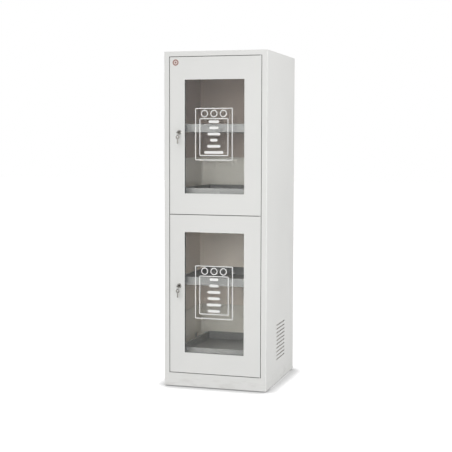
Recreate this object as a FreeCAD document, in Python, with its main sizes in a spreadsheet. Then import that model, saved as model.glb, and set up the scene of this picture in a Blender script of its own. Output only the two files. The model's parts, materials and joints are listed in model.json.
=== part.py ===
import FreeCAD, Part
import math
import os
import Sketcher

# Tall sheet-steel storage cabinet for reagents, in millimetres.
# X runs along the front to the right, Y from the front to the rear, Z up.
# The origin is under the middle of the whole outline, on the floor.

# Driving sizes. Every other size and place is worked out from these.
SIZES = {
    # Casing
    "casing_width": 600,
    "casing_depth": 650,
    "casing_height": 1900,
    "casing_lift": 6,
    "sheet_thickness": 1.2,
    "bend_radius": 3,
    "stile_width": 30,
    "top_rail_height": 28,
    "plinth_height": 80,
    "plinth_foot_width": 20,
    "frame_lip_width": 15,
    "frame_rebate_depth": 22,
    "rear_flange_width": 20,
    "floor_flange_height": 25,
    "casing_fit": 0.2,
    "back_sheet": 1,
    "back_edge_inset": 3,
    # Pressed air louvres in the side walls
    "louvre_front_setback": 235,
    "louvre_length": 188,
    "louvre_opening": 6,
    "louvre_pitch": 22,
    "louvre_count": 10,
    "louvre_bottom": 138,
    "louvre_blade_reach": 6,
    # Screws of the back panel
    "screw_head_radius": 4,
    "screw_head_height": 2.4,
    "screw_shank_radius": 1.75,
    "screw_tail": 1.2,
    "screw_column_inset": 10,
    "screw_row_inset": 40,
    "screw_row_count": 7,
    # Levelling feet and the plates that carry them
    "foot_pad_radius": 20,
    "foot_pad_height": 5,
    "foot_neck_radius": 8,
    "foot_stud_radius": 5,
    "foot_stud_length": 42,
    "foot_plate_size": 70,
    "foot_plate_thickness": 3,
    "foot_nut_radius": 9,
    "foot_nut_height": 8,
    # Doors
    "door_gap": 3,
    "door_thickness": 20,
    "door_sheet": 1,
    "door_bend_radius": 1.5,
    "lower_door_height": 901,
    "inner_pan_edge": 6,
    "door_fit": 0.2,
    "window_left_margin": 89,
    "window_right_margin": 97,
    "window_corner_radius": 4,
    "upper_window_sill": 118,
    "upper_window_height": 637,
    "lower_window_sill": 117,
    "lower_window_height": 686.5,
    # Glazing
    "glass_thickness": 4,
    "glass_cover": 10,
    "gasket_lip": 1,
    "gasket_rim": 2,
    "gasket_setback": 1,
    "glazing_sheet": 1.2,
    "glazing_flange_width": 18,
    # Hinges
    "hinge_inset": 5,
    "hinge_pin_radius": 3,
    "hinge_running_gap": 0.05,
    "hinge_pin_reach": 16,
    "hinge_block_width": 10,
    "hinge_block_depth": 12,
    "hinge_block_height": 20,
    "hinge_plate_thickness": 2,
    "hinge_plate_width": 16,
    "hinge_hole_gap": 0.5,
    # Door buffers
    "buffer_radius": 4,
    "buffer_gap": 0.3,
    "buffer_end_inset": 120,
    # Cam locks
    "lock_inset": 57,
    "upper_lock_height": 461,
    "lower_lock_height": 497,
    "lock_rosette_radius": 13,
    "lock_rosette_height": 3,
    "lock_body_radius": 8,
    "lock_plug_radius": 6,
    "lock_plug_proud": 0.4,
    "lock_running_gap": 0.05,
    "lock_nut_radius": 10.5,
    "lock_nut_thickness": 4,
    "lock_tail_width": 7,
    "lock_collar_radius": 5,
    "lock_collar_height": 1.5,
    "cam_gap": 0.5,
    "cam_length": 52,
    "cam_width": 16,
    "cam_thickness": 3,
    # Keys and their ring
    "key_thickness": 2.2,
    "key_blade_width": 8,
    "key_blade_length": 22,
    "key_bow_radius": 11.5,
    "key_shoulder": 5,
    "key_hole_radius": 3.5,
    "key_hole_length": 12,
    "key_rim": 2.4,
    "key_slot_gap": 0.2,
    "key_cut_depth": 2,
    "key_cut_pitch": 4,
    "key_cut_count": 4,
    "ring_radius": 11,
    "ring_wire_radius": 0.9,
    "ring_play": 0.15,
    # Pull-out trays
    "tray_side_gap": 44,
    "tray_depth": 530,
    "tray_height": 46,
    "tray_sheet": 1.2,
    "tray_corner_radius": 5,
    "tray_rim_width": 6,
    "tray_front_setback": 70,
    "upper_low_tray_rise": 89,
    "upper_high_tray_rise": 452,
    "lower_low_tray_rise": 90,
    "lower_high_tray_rise": 498,
    # Telescopic runners, three members nested in each other
    "runner_thickness": 12.7,
    "runner_height": 45,
    "runner_length": 500,
    "runner_sheet": 1.5,
    "runner_play": 0.3,
    "runner_flange": 8,
    "runner_front_setback": 6,
    "bracket_sheet": 2,
    "bracket_length": 60,
    # Collecting liners on the two compartment floors
    "liner_wall": 2,
    "liner_height": 302,
    "liner_front_height": 60,
    "liner_front_setback": 30,
    "liner_slope_run": 60,
    "liner_fit": 0.5,
    "liner_corner_radius": 12,
    # Length by which a cut runs past what it cuts
    "overrun": 2,
}

# Places and sizes that follow from the driving sizes.
PLACES = {
    "half_width": "Sizes.casing_width / 2",
    "opening_half": "Sizes.casing_width / 2 - Sizes.stile_width",
    "wall_inner": "Sizes.casing_width / 2 - Sizes.sheet_thickness",
    "key_face": "Sizes.lock_rosette_height + Sizes.lock_plug_proud",
    "bow_centre": "key_face + Sizes.key_shoulder + Sizes.key_bow_radius",
    "rim_reach": "bow_centre + Sizes.key_bow_radius - Sizes.key_rim / 2",
    "key_reach": "rim_reach + Sizes.ring_radius + Sizes.ring_wire_radius",
    "front_y": "-(Sizes.casing_depth - key_reach) / 2",
    "rear_y": "front_y + Sizes.casing_depth - Sizes.screw_head_height - Sizes.back_sheet",
    "inner_rear": "rear_y - Sizes.sheet_thickness - Sizes.screw_tail - Sizes.casing_fit",
    "lip_back": "front_y + Sizes.frame_rebate_depth + Sizes.sheet_thickness",
    "opening_top": "Sizes.casing_height - Sizes.top_rail_height",
    "top_under": "Sizes.casing_height - Sizes.sheet_thickness",
    "door_half": "opening_half - Sizes.door_gap",
    "lower_door_z": "Sizes.plinth_height + Sizes.door_gap",
    "upper_door_z": "lower_door_z + Sizes.lower_door_height + Sizes.door_gap",
    "lower_door_tall": "Sizes.lower_door_height",
    "upper_door_tall": "opening_top - Sizes.door_gap - upper_door_z",
    "doors_meet": "upper_door_z - Sizes.door_gap / 2",
    "window_left": "Sizes.window_left_margin - door_half",
    "window_right": "door_half - Sizes.window_right_margin",
    "lower_floor": "Sizes.plinth_height",
    "upper_floor": "doors_meet + Sizes.floor_flange_height / 2",
    "hinge_x": "door_half - Sizes.hinge_inset",
    "hinge_y": "front_y + Sizes.hinge_inset",
    "lock_x": "Sizes.lock_inset - door_half",
    "upper_lock_z": "upper_door_z + Sizes.upper_lock_height",
    "lower_lock_z": "lower_door_z + Sizes.lower_lock_height",
    "rim_corner": "sqrt(Sizes.key_rim * Sizes.key_rim + Sizes.key_thickness * Sizes.key_thickness) / 2",
    "ring_drop": "Sizes.ring_radius - rim_corner - Sizes.ring_wire_radius - Sizes.ring_play",
    "spare_rim_top": "ring_drop + Sizes.ring_radius - Sizes.ring_wire_radius - Sizes.ring_play"
    " - Sizes.key_rim",
    "spare_bow_drop": "spare_rim_top + Sizes.key_bow_radius",
    "glass_front": "Sizes.gasket_setback + Sizes.gasket_lip",
    "gasket_back": "glass_front + Sizes.glass_thickness + Sizes.gasket_lip",
    "tray_y": "front_y + Sizes.tray_front_setback",
    "tray_half": "opening_half - Sizes.tray_side_gap",
    "runner_outer": "tray_half + Sizes.runner_thickness",
    "runner_y": "tray_y + Sizes.runner_front_setback",
    "runner_drop": "(Sizes.tray_height - Sizes.runner_height) / 2",
    "bracket_span": "Sizes.runner_length - Sizes.bracket_length",
    "liner_outer": "wall_inner - Sizes.louvre_blade_reach - Sizes.liner_fit",
    "liner_front": "front_y + Sizes.liner_front_setback",
    "liner_rear": "inner_rear - Sizes.louvre_blade_reach - Sizes.liner_fit",
    "upper_low_tray_z": "upper_floor + Sizes.upper_low_tray_rise",
    "upper_high_tray_z": "upper_floor + Sizes.upper_high_tray_rise",
    "lower_low_tray_z": "lower_floor + Sizes.lower_low_tray_rise",
    "lower_high_tray_z": "lower_floor + Sizes.lower_high_tray_rise",
}

DOORS = ("upper", "lower")
TRAYS = ("upper_high", "upper_low", "lower_high", "lower_low")

doc = FreeCAD.newDocument("reagent_cabinet")


def fill_sheet(name, rows, is_formula):
    """Writes one row for each size: its name, its value and the alias that the model reads."""
    sheet = doc.addObject("Spreadsheet::Sheet", name)
    for row, (alias, value) in enumerate(rows.items(), start=1):
        sheet.set(f"A{row}", alias)
        sheet.set(f"B{row}", f"={value}" if is_formula else str(value))
        sheet.setAlias(f"B{row}", alias)
    doc.recompute()
    return sheet


sizes = fill_sheet("Sizes", SIZES, False)
places = fill_sheet("Places", PLACES, True)
nodes = []


def number(text):
    """The value of an expression on the two sheets."""
    found = sizes.evalExpression(str(text))
    return float(getattr(found, "Value", found))


def new_body(label, x="0", y="0", z="0"):
    """A body that is one node of the cabinet, placed by expressions."""
    body = doc.addObject("PartDesign::Body", label)
    body.Label = label
    body.AllowCompound = True
    for axis, text in zip("xyz", (x, y, z)):
        body.setExpression(f"Placement.Base.{axis}", text)
    nodes.append(body)
    return body


def origin_item(body, role):
    return [item for item in body.Origin.OriginFeatures if item.Role == role][0]


def new_sketch(body, plane, offset):
    """A sketch on one of the body's own planes, moved by offset along X, Y or Z."""
    sketch = body.newObject("Sketcher::SketchObject", f"{body.Label}_sketch")
    sketch.AttachmentSupport = (origin_item(body, f"{plane}_Plane"), "")
    sketch.MapMode = "FlatFace"
    along_normal = f"-({offset})" if plane == "XZ" else offset
    sketch.setExpression("AttachmentOffset.Base.z", along_normal)
    return sketch


def bind_point(sketch, item, end, across, up):
    """Holds one point of a sketch at a place given by two expressions."""
    for kind, text in (("DistanceX", across), ("DistanceY", up)):
        index = sketch.addConstraint(Sketcher.Constraint(kind, -1, 1, item, end, number(text)))
        sketch.setExpression(f"Constraints[{index}]", text)


def add_polygon(sketch, points):
    """A closed outline of straight lines through points, each a pair of expressions."""
    spots = [FreeCAD.Vector(number(across), number(up), 0) for across, up in points]
    first = sketch.GeometryCount
    for index, spot in enumerate(spots):
        sketch.addGeometry(Part.LineSegment(spot, spots[(index + 1) % len(spots)]), False)
    for index in range(len(spots)):
        following = first + (index + 1) % len(spots)
        sketch.addConstraint(Sketcher.Constraint("Coincident", first + index, 2, following, 1))
    for index, (across, up) in enumerate(points):
        bind_point(sketch, first + index, 1, across, up)
    return sketch


def polygon(body, plane, points, offset="0"):
    return add_polygon(new_sketch(body, plane, offset), points)


def rectangle(body, plane, left, bottom, right, top, offset="0"):
    corners = [(left, bottom), (right, bottom), (right, top), (left, top)]
    return polygon(body, plane, corners, offset)


def add_circle(sketch, across, up, radius):
    centre = FreeCAD.Vector(number(across), number(up), 0)
    item = sketch.addGeometry(Part.Circle(centre, FreeCAD.Vector(0, 0, 1), number(radius)), False)
    bind_point(sketch, item, 3, across, up)
    index = sketch.addConstraint(Sketcher.Constraint("Radius", item, number(radius)))
    sketch.setExpression(f"Constraints[{index}]", radius)
    return sketch


def circle(body, plane, across, up, radius, offset="0"):
    return add_circle(new_sketch(body, plane, offset), across, up, radius)


def add_rounded(sketch, left, bottom, right, top, radius):
    """A rectangle whose four corners are arcs tangent to its sides."""
    x0, y0, x1, y1, r = (number(text) for text in (left, bottom, right, top, radius))
    corners = [
        (x0 + r, y0 + r, math.pi, 1.5 * math.pi, f"{left} + {radius}", f"{bottom} + {radius}"),
        (x1 - r, y0 + r, 1.5 * math.pi, 2 * math.pi, f"{right} - ({radius})", f"{bottom} + {radius}"),
        (x1 - r, y1 - r, 0, 0.5 * math.pi, f"{right} - ({radius})", f"{top} - ({radius})"),
        (x0 + r, y1 - r, 0.5 * math.pi, math.pi, f"{left} + {radius}", f"{top} - ({radius})"),
    ]
    arcs = []
    for x, y, start, stop, across, up in corners:
        ring = Part.Circle(FreeCAD.Vector(x, y, 0), FreeCAD.Vector(0, 0, 1), r)
        item = sketch.addGeometry(Part.ArcOfCircle(ring, start, stop), False)
        arcs.append((item, across, up, sketch.Geometry[item]))
    for index, (item, across, up, arc) in enumerate(arcs):
        following = arcs[(index + 1) % 4]
        line = sketch.addGeometry(Part.LineSegment(arc.EndPoint, following[3].StartPoint), False)
        sketch.addConstraint(Sketcher.Constraint("Tangent", item, 2, line, 1))
        sketch.addConstraint(Sketcher.Constraint("Tangent", line, 2, following[0], 1))
    for item, across, up, arc in arcs:
        bind_point(sketch, item, 3, across, up)
    index = sketch.addConstraint(Sketcher.Constraint("Radius", arcs[0][0], r))
    sketch.setExpression(f"Constraints[{index}]", radius)
    for item, across, up, arc in arcs[1:]:
        sketch.addConstraint(Sketcher.Constraint("Equal", arcs[0][0], item))
    return sketch


def rounded(body, plane, left, bottom, right, top, radius, offset="0"):
    return add_rounded(new_sketch(body, plane, offset), left, bottom, right, top, radius)


def lies_on_xz(sketch):
    return sketch.AttachmentSupport[0][0].Role == "XZ_Plane"


def pad(body, sketch, length, forward=True):
    """Pads a sketch by length along its axis: forward is towards +X, +Y or +Z."""
    feature = body.newObject("PartDesign::Pad", f"{body.Label}_pad")
    feature.Profile = sketch
    feature.setExpression("Length", length)
    feature.Reversed = forward == lies_on_xz(sketch)
    body.Tip = feature
    doc.recompute()
    return feature


def pad_both_ways(body, sketch, length):
    """Pads a sketch by half of length to each side of its plane."""
    feature = body.newObject("PartDesign::Pad", f"{body.Label}_pad")
    feature.Profile = sketch
    feature.setExpression("Length", length)
    feature.SideType = "Symmetric"
    body.Tip = feature
    doc.recompute()
    return feature


def pocket(body, sketch, length, forward=True):
    """Cuts a sketch out by length towards +X, +Y or +Z, or the other way, and checks that it cut."""
    before = body.Shape.Volume
    feature = body.newObject("PartDesign::Pocket", f"{body.Label}_pocket")
    feature.Profile = sketch
    feature.setExpression("Length", length)
    feature.Reversed = forward != lies_on_xz(sketch)
    body.Tip = feature
    doc.recompute()
    if not feature.Shape.Volume < before:
        raise ValueError(f"a cut in {body.Label} removes nothing")
    return feature


def mirror_across(body, features, plane="YZ"):
    feature = body.newObject("PartDesign::Mirrored", f"{body.Label}_mirrored")
    feature.Originals = features
    feature.MirrorPlane = (origin_item(body, f"{plane}_Plane"), [""])
    body.Tip = feature
    doc.recompute()
    return feature


def mirror_whole(body, plane="YZ"):
    """Mirrors the whole body so far and keeps both halves."""
    feature = body.newObject("PartDesign::Mirrored", f"{body.Label}_mirrored")
    feature.TransformMode = "Whole shape"
    feature.MirrorPlane = (origin_item(body, f"{plane}_Plane"), [""])
    body.Tip = feature
    doc.recompute()
    return feature


def repeat(body, features, axis, span, count):
    """Repeats features in a row along one axis: span reaches from the first to the last."""
    feature = body.newObject("PartDesign::LinearPattern", f"{body.Label}_row")
    feature.Originals = features
    feature.Direction = (origin_item(body, f"{axis}_Axis"), [""])
    feature.setExpression("Length", span)
    feature.setExpression("Occurrences", count)
    body.Tip = feature
    doc.recompute()
    return feature


def edges_where(shape, test):
    """Names of the edges whose middle point and direction pass a test."""
    names = []
    for index, edge in enumerate(shape.Edges, start=1):
        middle = edge.valueAt((edge.FirstParameter + edge.LastParameter) / 2)
        if test(edge, middle):
            names.append(f"Edge{index}")
    return names


def is_straight_along(edge, axis):
    if edge.Curve.TypeId != "Part::GeomLine":
        return False
    direction = edge.tangentAt(edge.FirstParameter)
    return abs(abs(getattr(direction, axis)) - 1) < 1e-6


def near(value, text):
    return abs(value - number(text)) < 1e-4


def fillet(body, test, radius):
    """Rounds the edges of the body so far that pass a test, in the body's own axes."""
    base = body.Tip
    feature = body.newObject("PartDesign::Fillet", f"{body.Label}_fillet")
    feature.Base = (base, edges_where(base.Shape, test))
    feature.setExpression("Radius", radius)
    body.Tip = feature
    doc.recompute()
    return feature


def revolve(body, sketch, axis):
    feature = body.newObject("PartDesign::Revolution", f"{body.Label}_turned")
    feature.Profile = sketch
    feature.ReferenceAxis = (origin_item(body, f"{axis}_Axis"), [""])
    feature.Angle = 360
    body.Tip = feature
    doc.recompute()
    return feature


def frame_section(opening, outer, inward, reach):
    """Folded edge of the front frame with its wall, as pairs (across, depth).

    It runs from the opening edge over the face to the outer corner, back along the wall to reach,
    round a rear flange, and returns inside to the rebate lip. inward is + or -, the sign of the
    step from the outer corner towards the opening.
    """
    skin = "Sizes.sheet_thickness"
    rebate = "Places.front_y + Sizes.frame_rebate_depth"
    return [
        (opening, "Places.front_y"),
        (outer, "Places.front_y"),
        (outer, reach),
        (f"{outer} {inward} Sizes.rear_flange_width", reach),
        (f"{outer} {inward} Sizes.rear_flange_width", f"{reach} - {skin}"),
        (f"{outer} {inward} {skin}", f"{reach} - {skin}"),
        (f"{outer} {inward} {skin}", f"Places.front_y + {skin}"),
        (f"{opening} - ({inward} {skin})", f"Places.front_y + {skin}"),
        (f"{opening} - ({inward} {skin})", f"{rebate} + {skin}"),
        (f"{opening} {inward} Sizes.frame_lip_width", f"{rebate} + {skin}"),
        (f"{opening} {inward} Sizes.frame_lip_width", rebate),
        (opening, rebate),
    ]


def side_panel(label, sign):
    """Side wall folded in one piece with its front stile, rebate lip and rear flange."""
    inward = "-" if sign == "" else "+"
    outer = f"{sign}Places.half_width"
    opening = f"{sign}Places.opening_half"
    body = new_body(label, z="Sizes.casing_lift")
    section = frame_section(opening, outer, inward, "Places.rear_y")
    pad(body, polygon(body, "XY", section), "Places.top_under - Sizes.casing_lift")

    def front_corner(edge, middle):
        on_wall = near(middle.x, outer) or near(middle.x, f"{sign}Places.wall_inner")
        on_face = near(middle.y, "Places.front_y")
        on_face = on_face or near(middle.y, "Places.front_y + Sizes.sheet_thickness")
        return is_straight_along(edge, "z") and on_wall and on_face

    def outer_corner(edge, middle):
        return front_corner(edge, middle) and near(middle.x, outer)

    def inner_corner(edge, middle):
        return front_corner(edge, middle) and not near(middle.x, outer)

    fillet(body, outer_corner, "Sizes.bend_radius")
    fillet(body, inner_corner, "Sizes.bend_radius - Sizes.sheet_thickness")
    cut_lip_ends(body, opening, inward)
    cut_louvres(body, sign)
    cut_screw_column(body, f"{outer} {inward} Sizes.screw_column_inset")
    return body


def cut_lip_ends(body, opening, inward):
    """Clears the rebate lip where the lips of the top rail and of the plinth pass."""
    start = "Places.front_y + Sizes.frame_rebate_depth - Sizes.overrun"
    depth = "Sizes.sheet_thickness + 2 * Sizes.overrun"
    lip_end = f"{opening} {inward} (Sizes.frame_lip_width + Sizes.overrun)"
    top = "Places.opening_top - Sizes.frame_lip_width - Sizes.casing_lift"
    above = "Sizes.casing_height"
    foot = "Sizes.plinth_height + Sizes.frame_lip_width - Sizes.casing_lift"
    below = "-Sizes.overrun"
    pocket(body, rectangle(body, "XZ", lip_end, top, opening, above, start), depth)
    pocket(body, rectangle(body, "XZ", lip_end, below, opening, foot, start), depth)


def cut_louvres(body, sign):
    """A stack of slots, each with a blade pressed inward from its upper edge."""
    front = "Places.front_y + Sizes.louvre_front_setback"
    rear = f"{front} + Sizes.louvre_length"
    bottom = "Sizes.louvre_bottom - Sizes.casing_lift"
    top = f"{bottom} + Sizes.louvre_opening"
    span = "Sizes.louvre_pitch * (Sizes.louvre_count - 1)"
    wall = f"{sign}Places.wall_inner"
    inward = "-" if sign == "" else "+"
    outward = "+" if sign == "" else "-"
    skin = "Sizes.sheet_thickness"
    slot = rectangle(body, "YZ", front, bottom, rear, top, f"{wall} {outward} ({skin} + Sizes.overrun)")
    cut = pocket(body, slot, f"{skin} + 2 * Sizes.overrun", sign != "")
    repeat(body, [cut], "Z", span, "Sizes.louvre_count")
    blade = [
        (f"{wall} {outward} {skin}", top),
        (f"{wall} {outward} {skin}", f"{top} + {skin}"),
        (wall, f"{top} + {skin}"),
        (f"{wall} {inward} Sizes.louvre_blade_reach", f"{top} + {skin} - Sizes.louvre_blade_reach"),
        (f"{wall} {inward} Sizes.louvre_blade_reach", f"{top} - Sizes.louvre_blade_reach"),
        (wall, top),
    ]
    pressed = pad(body, polygon(body, "XZ", blade, front), "Sizes.louvre_length")
    repeat(body, [pressed], "Z", span, "Sizes.louvre_count")


def cut_screw_column(body, across):
    """One upright row of holes for the screws of the back panel."""
    start = "Places.rear_y - Sizes.sheet_thickness - Sizes.overrun"
    lowest = "Sizes.screw_row_inset"
    hole = circle(body, "XZ", across, lowest, "Sizes.screw_shank_radius", start)
    cut = pocket(body, hole, "Sizes.sheet_thickness + 2 * Sizes.overrun")
    repeat(body, [cut], "Z", screw_span(), "Sizes.screw_row_count")


def screw_span():
    return "Sizes.casing_height - Sizes.casing_lift - 2 * Sizes.screw_row_inset"


def swap(points):
    return [(depth, across) for across, depth in points]


def hinge_hole(body, radius, start, length):
    """An upright hole on the hinge line, from the height start upwards."""
    hole = circle(body, "XY", "Places.hinge_x", "Places.hinge_y", radius, start)
    return pocket(body, hole, length)


def top_panel():
    """Top sheet folded down at the front into the top rail and at the rear into a flange."""
    body = new_body("top_panel")
    section = frame_section("Places.opening_top", "Sizes.casing_height", "-", "Places.rear_y")
    pad_both_ways(body, polygon(body, "YZ", swap(section)), "2 * Places.opening_half")
    wings = rectangle(
        body, "XY", "-Places.half_width", "Places.front_y", "Places.half_width", "Places.rear_y",
        "Places.top_under",
    )
    pad(body, wings, "Sizes.sheet_thickness")
    start = "Places.opening_top - Sizes.overrun"
    radius = "Sizes.hinge_pin_radius + Sizes.hinge_hole_gap"
    hinge_hole(body, radius, start, "Sizes.sheet_thickness + 2 * Sizes.overrun")

    def top_front(edge, middle):
        at_top = near(middle.z, "Sizes.casing_height")
        return is_straight_along(edge, "x") and at_top and near(middle.y, "Places.front_y")

    fillet(body, top_front, "Sizes.sheet_thickness / 2")
    return body


def front_plinth():
    """Plinth board with the lower rebate lip above and a narrow foot flange below."""
    body = new_body("front_plinth")
    skin = "Sizes.sheet_thickness"
    low = "Sizes.casing_lift"
    high = "Sizes.plinth_height"
    face = "Places.front_y"
    rebate = f"{face} + Sizes.frame_rebate_depth"
    section = [
        (face, low),
        (face, high),
        (rebate, high),
        (rebate, f"{high} + Sizes.frame_lip_width"),
        (f"{rebate} + {skin}", f"{high} + Sizes.frame_lip_width"),
        (f"{rebate} + {skin}", f"{high} - {skin}"),
        (f"{face} + {skin}", f"{high} - {skin}"),
        (f"{face} + {skin}", f"{low} + {skin}"),
        (f"{face} + Sizes.plinth_foot_width", f"{low} + {skin}"),
        (f"{face} + Sizes.plinth_foot_width", low),
    ]
    pad_both_ways(body, polygon(body, "YZ", section), "2 * Places.opening_half")
    start = f"{high} - {skin} - Sizes.overrun"
    radius = "Sizes.hinge_pin_radius + Sizes.hinge_hole_gap"
    hinge_hole(body, radius, start, f"{skin} + 2 * Sizes.overrun")
    return body


def folded_floor(label, top):
    """A floor sheet with all four edges folded down."""
    body = new_body(label, z=f"{top} - Sizes.floor_flange_height")
    skin = "Sizes.sheet_thickness"
    half = "Places.wall_inner"
    rear = "Places.inner_rear"
    outside = rectangle(body, "XY", f"-{half}", "Places.lip_back", half, rear)
    pad(body, outside, "Sizes.floor_flange_height")
    hollow = rectangle(
        body, "XY", f"-{half} + {skin}", f"Places.lip_back + {skin}", f"{half} - {skin}",
        f"{rear} - {skin}",
    )
    pocket(body, hollow, f"Sizes.floor_flange_height - {skin}")
    return body


def back_panel():
    """Flat rear sheet, screwed to the rear flanges of the side panels."""
    body = new_body("back_panel", y="Places.rear_y")
    edge = "Places.half_width - Sizes.back_edge_inset"
    low = "Sizes.casing_lift + Sizes.back_edge_inset"
    high = "Sizes.casing_height - Sizes.back_edge_inset"
    pad(body, rectangle(body, "XZ", f"-({edge})", low, edge, high), "Sizes.back_sheet")
    across = "Places.half_width - Sizes.screw_column_inset"
    lowest = "Sizes.casing_lift + Sizes.screw_row_inset"
    holes = circle(body, "XZ", across, lowest, "Sizes.screw_shank_radius", "-Sizes.overrun")
    add_circle(holes, f"-({across})", lowest, "Sizes.screw_shank_radius")
    cut = pocket(body, holes, "Sizes.back_sheet + 2 * Sizes.overrun")
    repeat(body, [cut], "Z", screw_span(), "Sizes.screw_row_count")
    return body


def back_screws():
    """Pan-head screws that hold the back panel, in two upright columns."""
    across = "Places.half_width - Sizes.screw_column_inset"
    body = new_body(
        "back_screws", y="Places.rear_y + Sizes.back_sheet", z="Sizes.casing_lift + Sizes.screw_row_inset"
    )
    shank = pad(body, circle(body, "XZ", across, "0", "Sizes.screw_shank_radius"),
                "Sizes.back_sheet + Sizes.sheet_thickness + Sizes.screw_tail", False)
    head = pad(body, circle(body, "XZ", across, "0", "Sizes.screw_head_radius"),
               "Sizes.screw_head_height")
    repeat(body, [shank, head], "Z", screw_span(), "Sizes.screw_row_count")
    mirror_whole(body)
    return body


def foot_places():
    """Places of the right front foot and the step to the rear one, as expressions."""
    across = "Places.wall_inner - Sizes.foot_plate_size / 2"
    front = "Places.lip_back + Sizes.foot_plate_size / 2"
    step = "Places.inner_rear - Places.lip_back - Sizes.foot_plate_size"
    return across, front, step


def levelling_feet():
    """Four screw feet: a round pad with a threaded stud above it."""
    across, front, step = foot_places()
    body = new_body("levelling_feet")
    centre = f"({across})"
    pads = pad(body, circle(body, "XY", centre, front, "Sizes.foot_pad_radius"), "Sizes.foot_pad_height")
    neck = pad(body, circle(body, "XY", centre, front, "Sizes.foot_neck_radius"),
               "Sizes.casing_lift")
    stud = pad(body, circle(body, "XY", centre, front, "Sizes.foot_stud_radius"),
               "Sizes.foot_stud_length")
    repeat(body, [pads, neck, stud], "Y", step, "2")
    mirror_whole(body)
    return body


def foot_plates():
    """Four corner plates with welded nuts that carry the feet."""
    across, front, step = foot_places()
    half = "Sizes.foot_plate_size / 2"
    body = new_body("foot_plates", z="Sizes.casing_lift + Sizes.sheet_thickness")
    plate = pad(
        body,
        rectangle(body, "XY", f"{across} - {half}", f"{front} - {half}", f"{across} + {half}",
                  f"{front} + {half}"),
        "Sizes.foot_plate_thickness",
    )
    nut_shares = [(math.cos(turn), math.sin(turn)) for turn in (i * math.pi / 3 for i in range(6))]
    hexagon = [
        (f"{across} + {share_x:.6f} * Sizes.foot_nut_radius",
         f"{front} + {share_y:.6f} * Sizes.foot_nut_radius")
        for share_x, share_y in nut_shares
    ]
    nut = pad(body, polygon(body, "XY", hexagon), "Sizes.foot_plate_thickness + Sizes.foot_nut_height")
    hole = pocket(
        body,
        circle(body, "XY", across, front, "Sizes.foot_stud_radius", "-Sizes.overrun"),
        "Sizes.foot_plate_thickness + Sizes.foot_nut_height + 2 * Sizes.overrun",
    )
    repeat(body, [plate, nut, hole], "Y", step, "2")
    mirror_whole(body)
    return body


def sump_liner(level):
    """Plastic liner on a compartment floor: a low front edge, and high sides and rear."""
    body = new_body(f"{level}_sump_liner", z=f"Places.{level}_floor")
    outer = "Places.liner_outer"
    wall = "Sizes.liner_wall"
    front = "Places.liner_front"
    rear = "Places.liner_rear"
    pad(body, rectangle(body, "XY", f"-{outer}", front, outer, rear), "Sizes.liner_height")
    hollow = rounded(body, "XY", f"{wall} - {outer}", f"{front} + {wall}", f"{outer} - {wall}",
                     f"{rear} - {wall}", "Sizes.liner_corner_radius", wall)
    pocket(body, hollow, "Sizes.liner_height")
    low = "Sizes.liner_front_height"
    high = "Sizes.liner_height"
    slope_foot = f"{front} + {wall} + Sizes.liner_corner_radius"
    slope = [
        (f"{front} - Sizes.overrun", low),
        (slope_foot, low),
        (f"{slope_foot} + Sizes.liner_slope_run", high),
        (f"{slope_foot} + Sizes.liner_slope_run", f"{high} + Sizes.overrun"),
        (f"{front} - Sizes.overrun", f"{high} + Sizes.overrun"),
    ]
    width = f"2 * ({outer} + Sizes.overrun)"
    pocket(body, polygon(body, "YZ", slope, f"-{outer} - Sizes.overrun"), width)
    cut_bracket_holes(body, level, width)
    return body


def cut_bracket_holes(body, level, width):
    """Holes in the liner's sides where the brackets of the low tray reach the side walls."""
    fit = "Sizes.liner_fit"
    low = f"Places.{level}_low_tray_z + Places.runner_drop - Places.{level}_floor"
    front = "Places.runner_y"
    hole = rectangle(
        body, "YZ", f"{front} - {fit}", f"{low} - {fit}", f"{front} + Sizes.bracket_length + {fit}",
        f"{low} + Sizes.runner_height + {fit}", "-Places.liner_outer - Sizes.overrun",
    )
    cut = pocket(body, hole, width)
    repeat(body, [cut], "Y", "Places.bracket_span", "2")


def end_hinge_plates():
    """Plates under the plinth flange and over the top rail flange that hold the end pins."""
    body = new_body("end_hinge_plates")
    low = "Sizes.plinth_height - Sizes.sheet_thickness - Sizes.hinge_plate_thickness"
    high = "Places.opening_top + Sizes.sheet_thickness"
    for level in (low, high):
        pad(body, hinge_plate_outline(body, level), "Sizes.hinge_plate_thickness")
        hinge_hole(body, "Sizes.hinge_pin_radius", f"{level} - Sizes.overrun",
                   "Sizes.hinge_plate_thickness + 2 * Sizes.overrun")
    return body


def hinge_plate_outline(body, level):
    half = "Sizes.hinge_plate_width / 2"
    front = "Places.front_y + Sizes.sheet_thickness"
    return rectangle(body, "XY", f"Places.hinge_x - {half}", front, "Places.opening_half",
                     "Places.front_y + Sizes.frame_rebate_depth", level)


def middle_hinge_plate():
    """Plate in the gap between the doors, welded to the rebate lip, that holds the middle pin."""
    body = new_body("middle_hinge_plate")
    low = "Places.doors_meet - Sizes.hinge_plate_thickness / 2"
    pad(body, hinge_plate_outline(body, low), "Sizes.hinge_plate_thickness")
    hinge_hole(body, "Sizes.hinge_pin_radius", f"{low} - Sizes.overrun",
               "Sizes.hinge_plate_thickness + 2 * Sizes.overrun")
    return body


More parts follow.
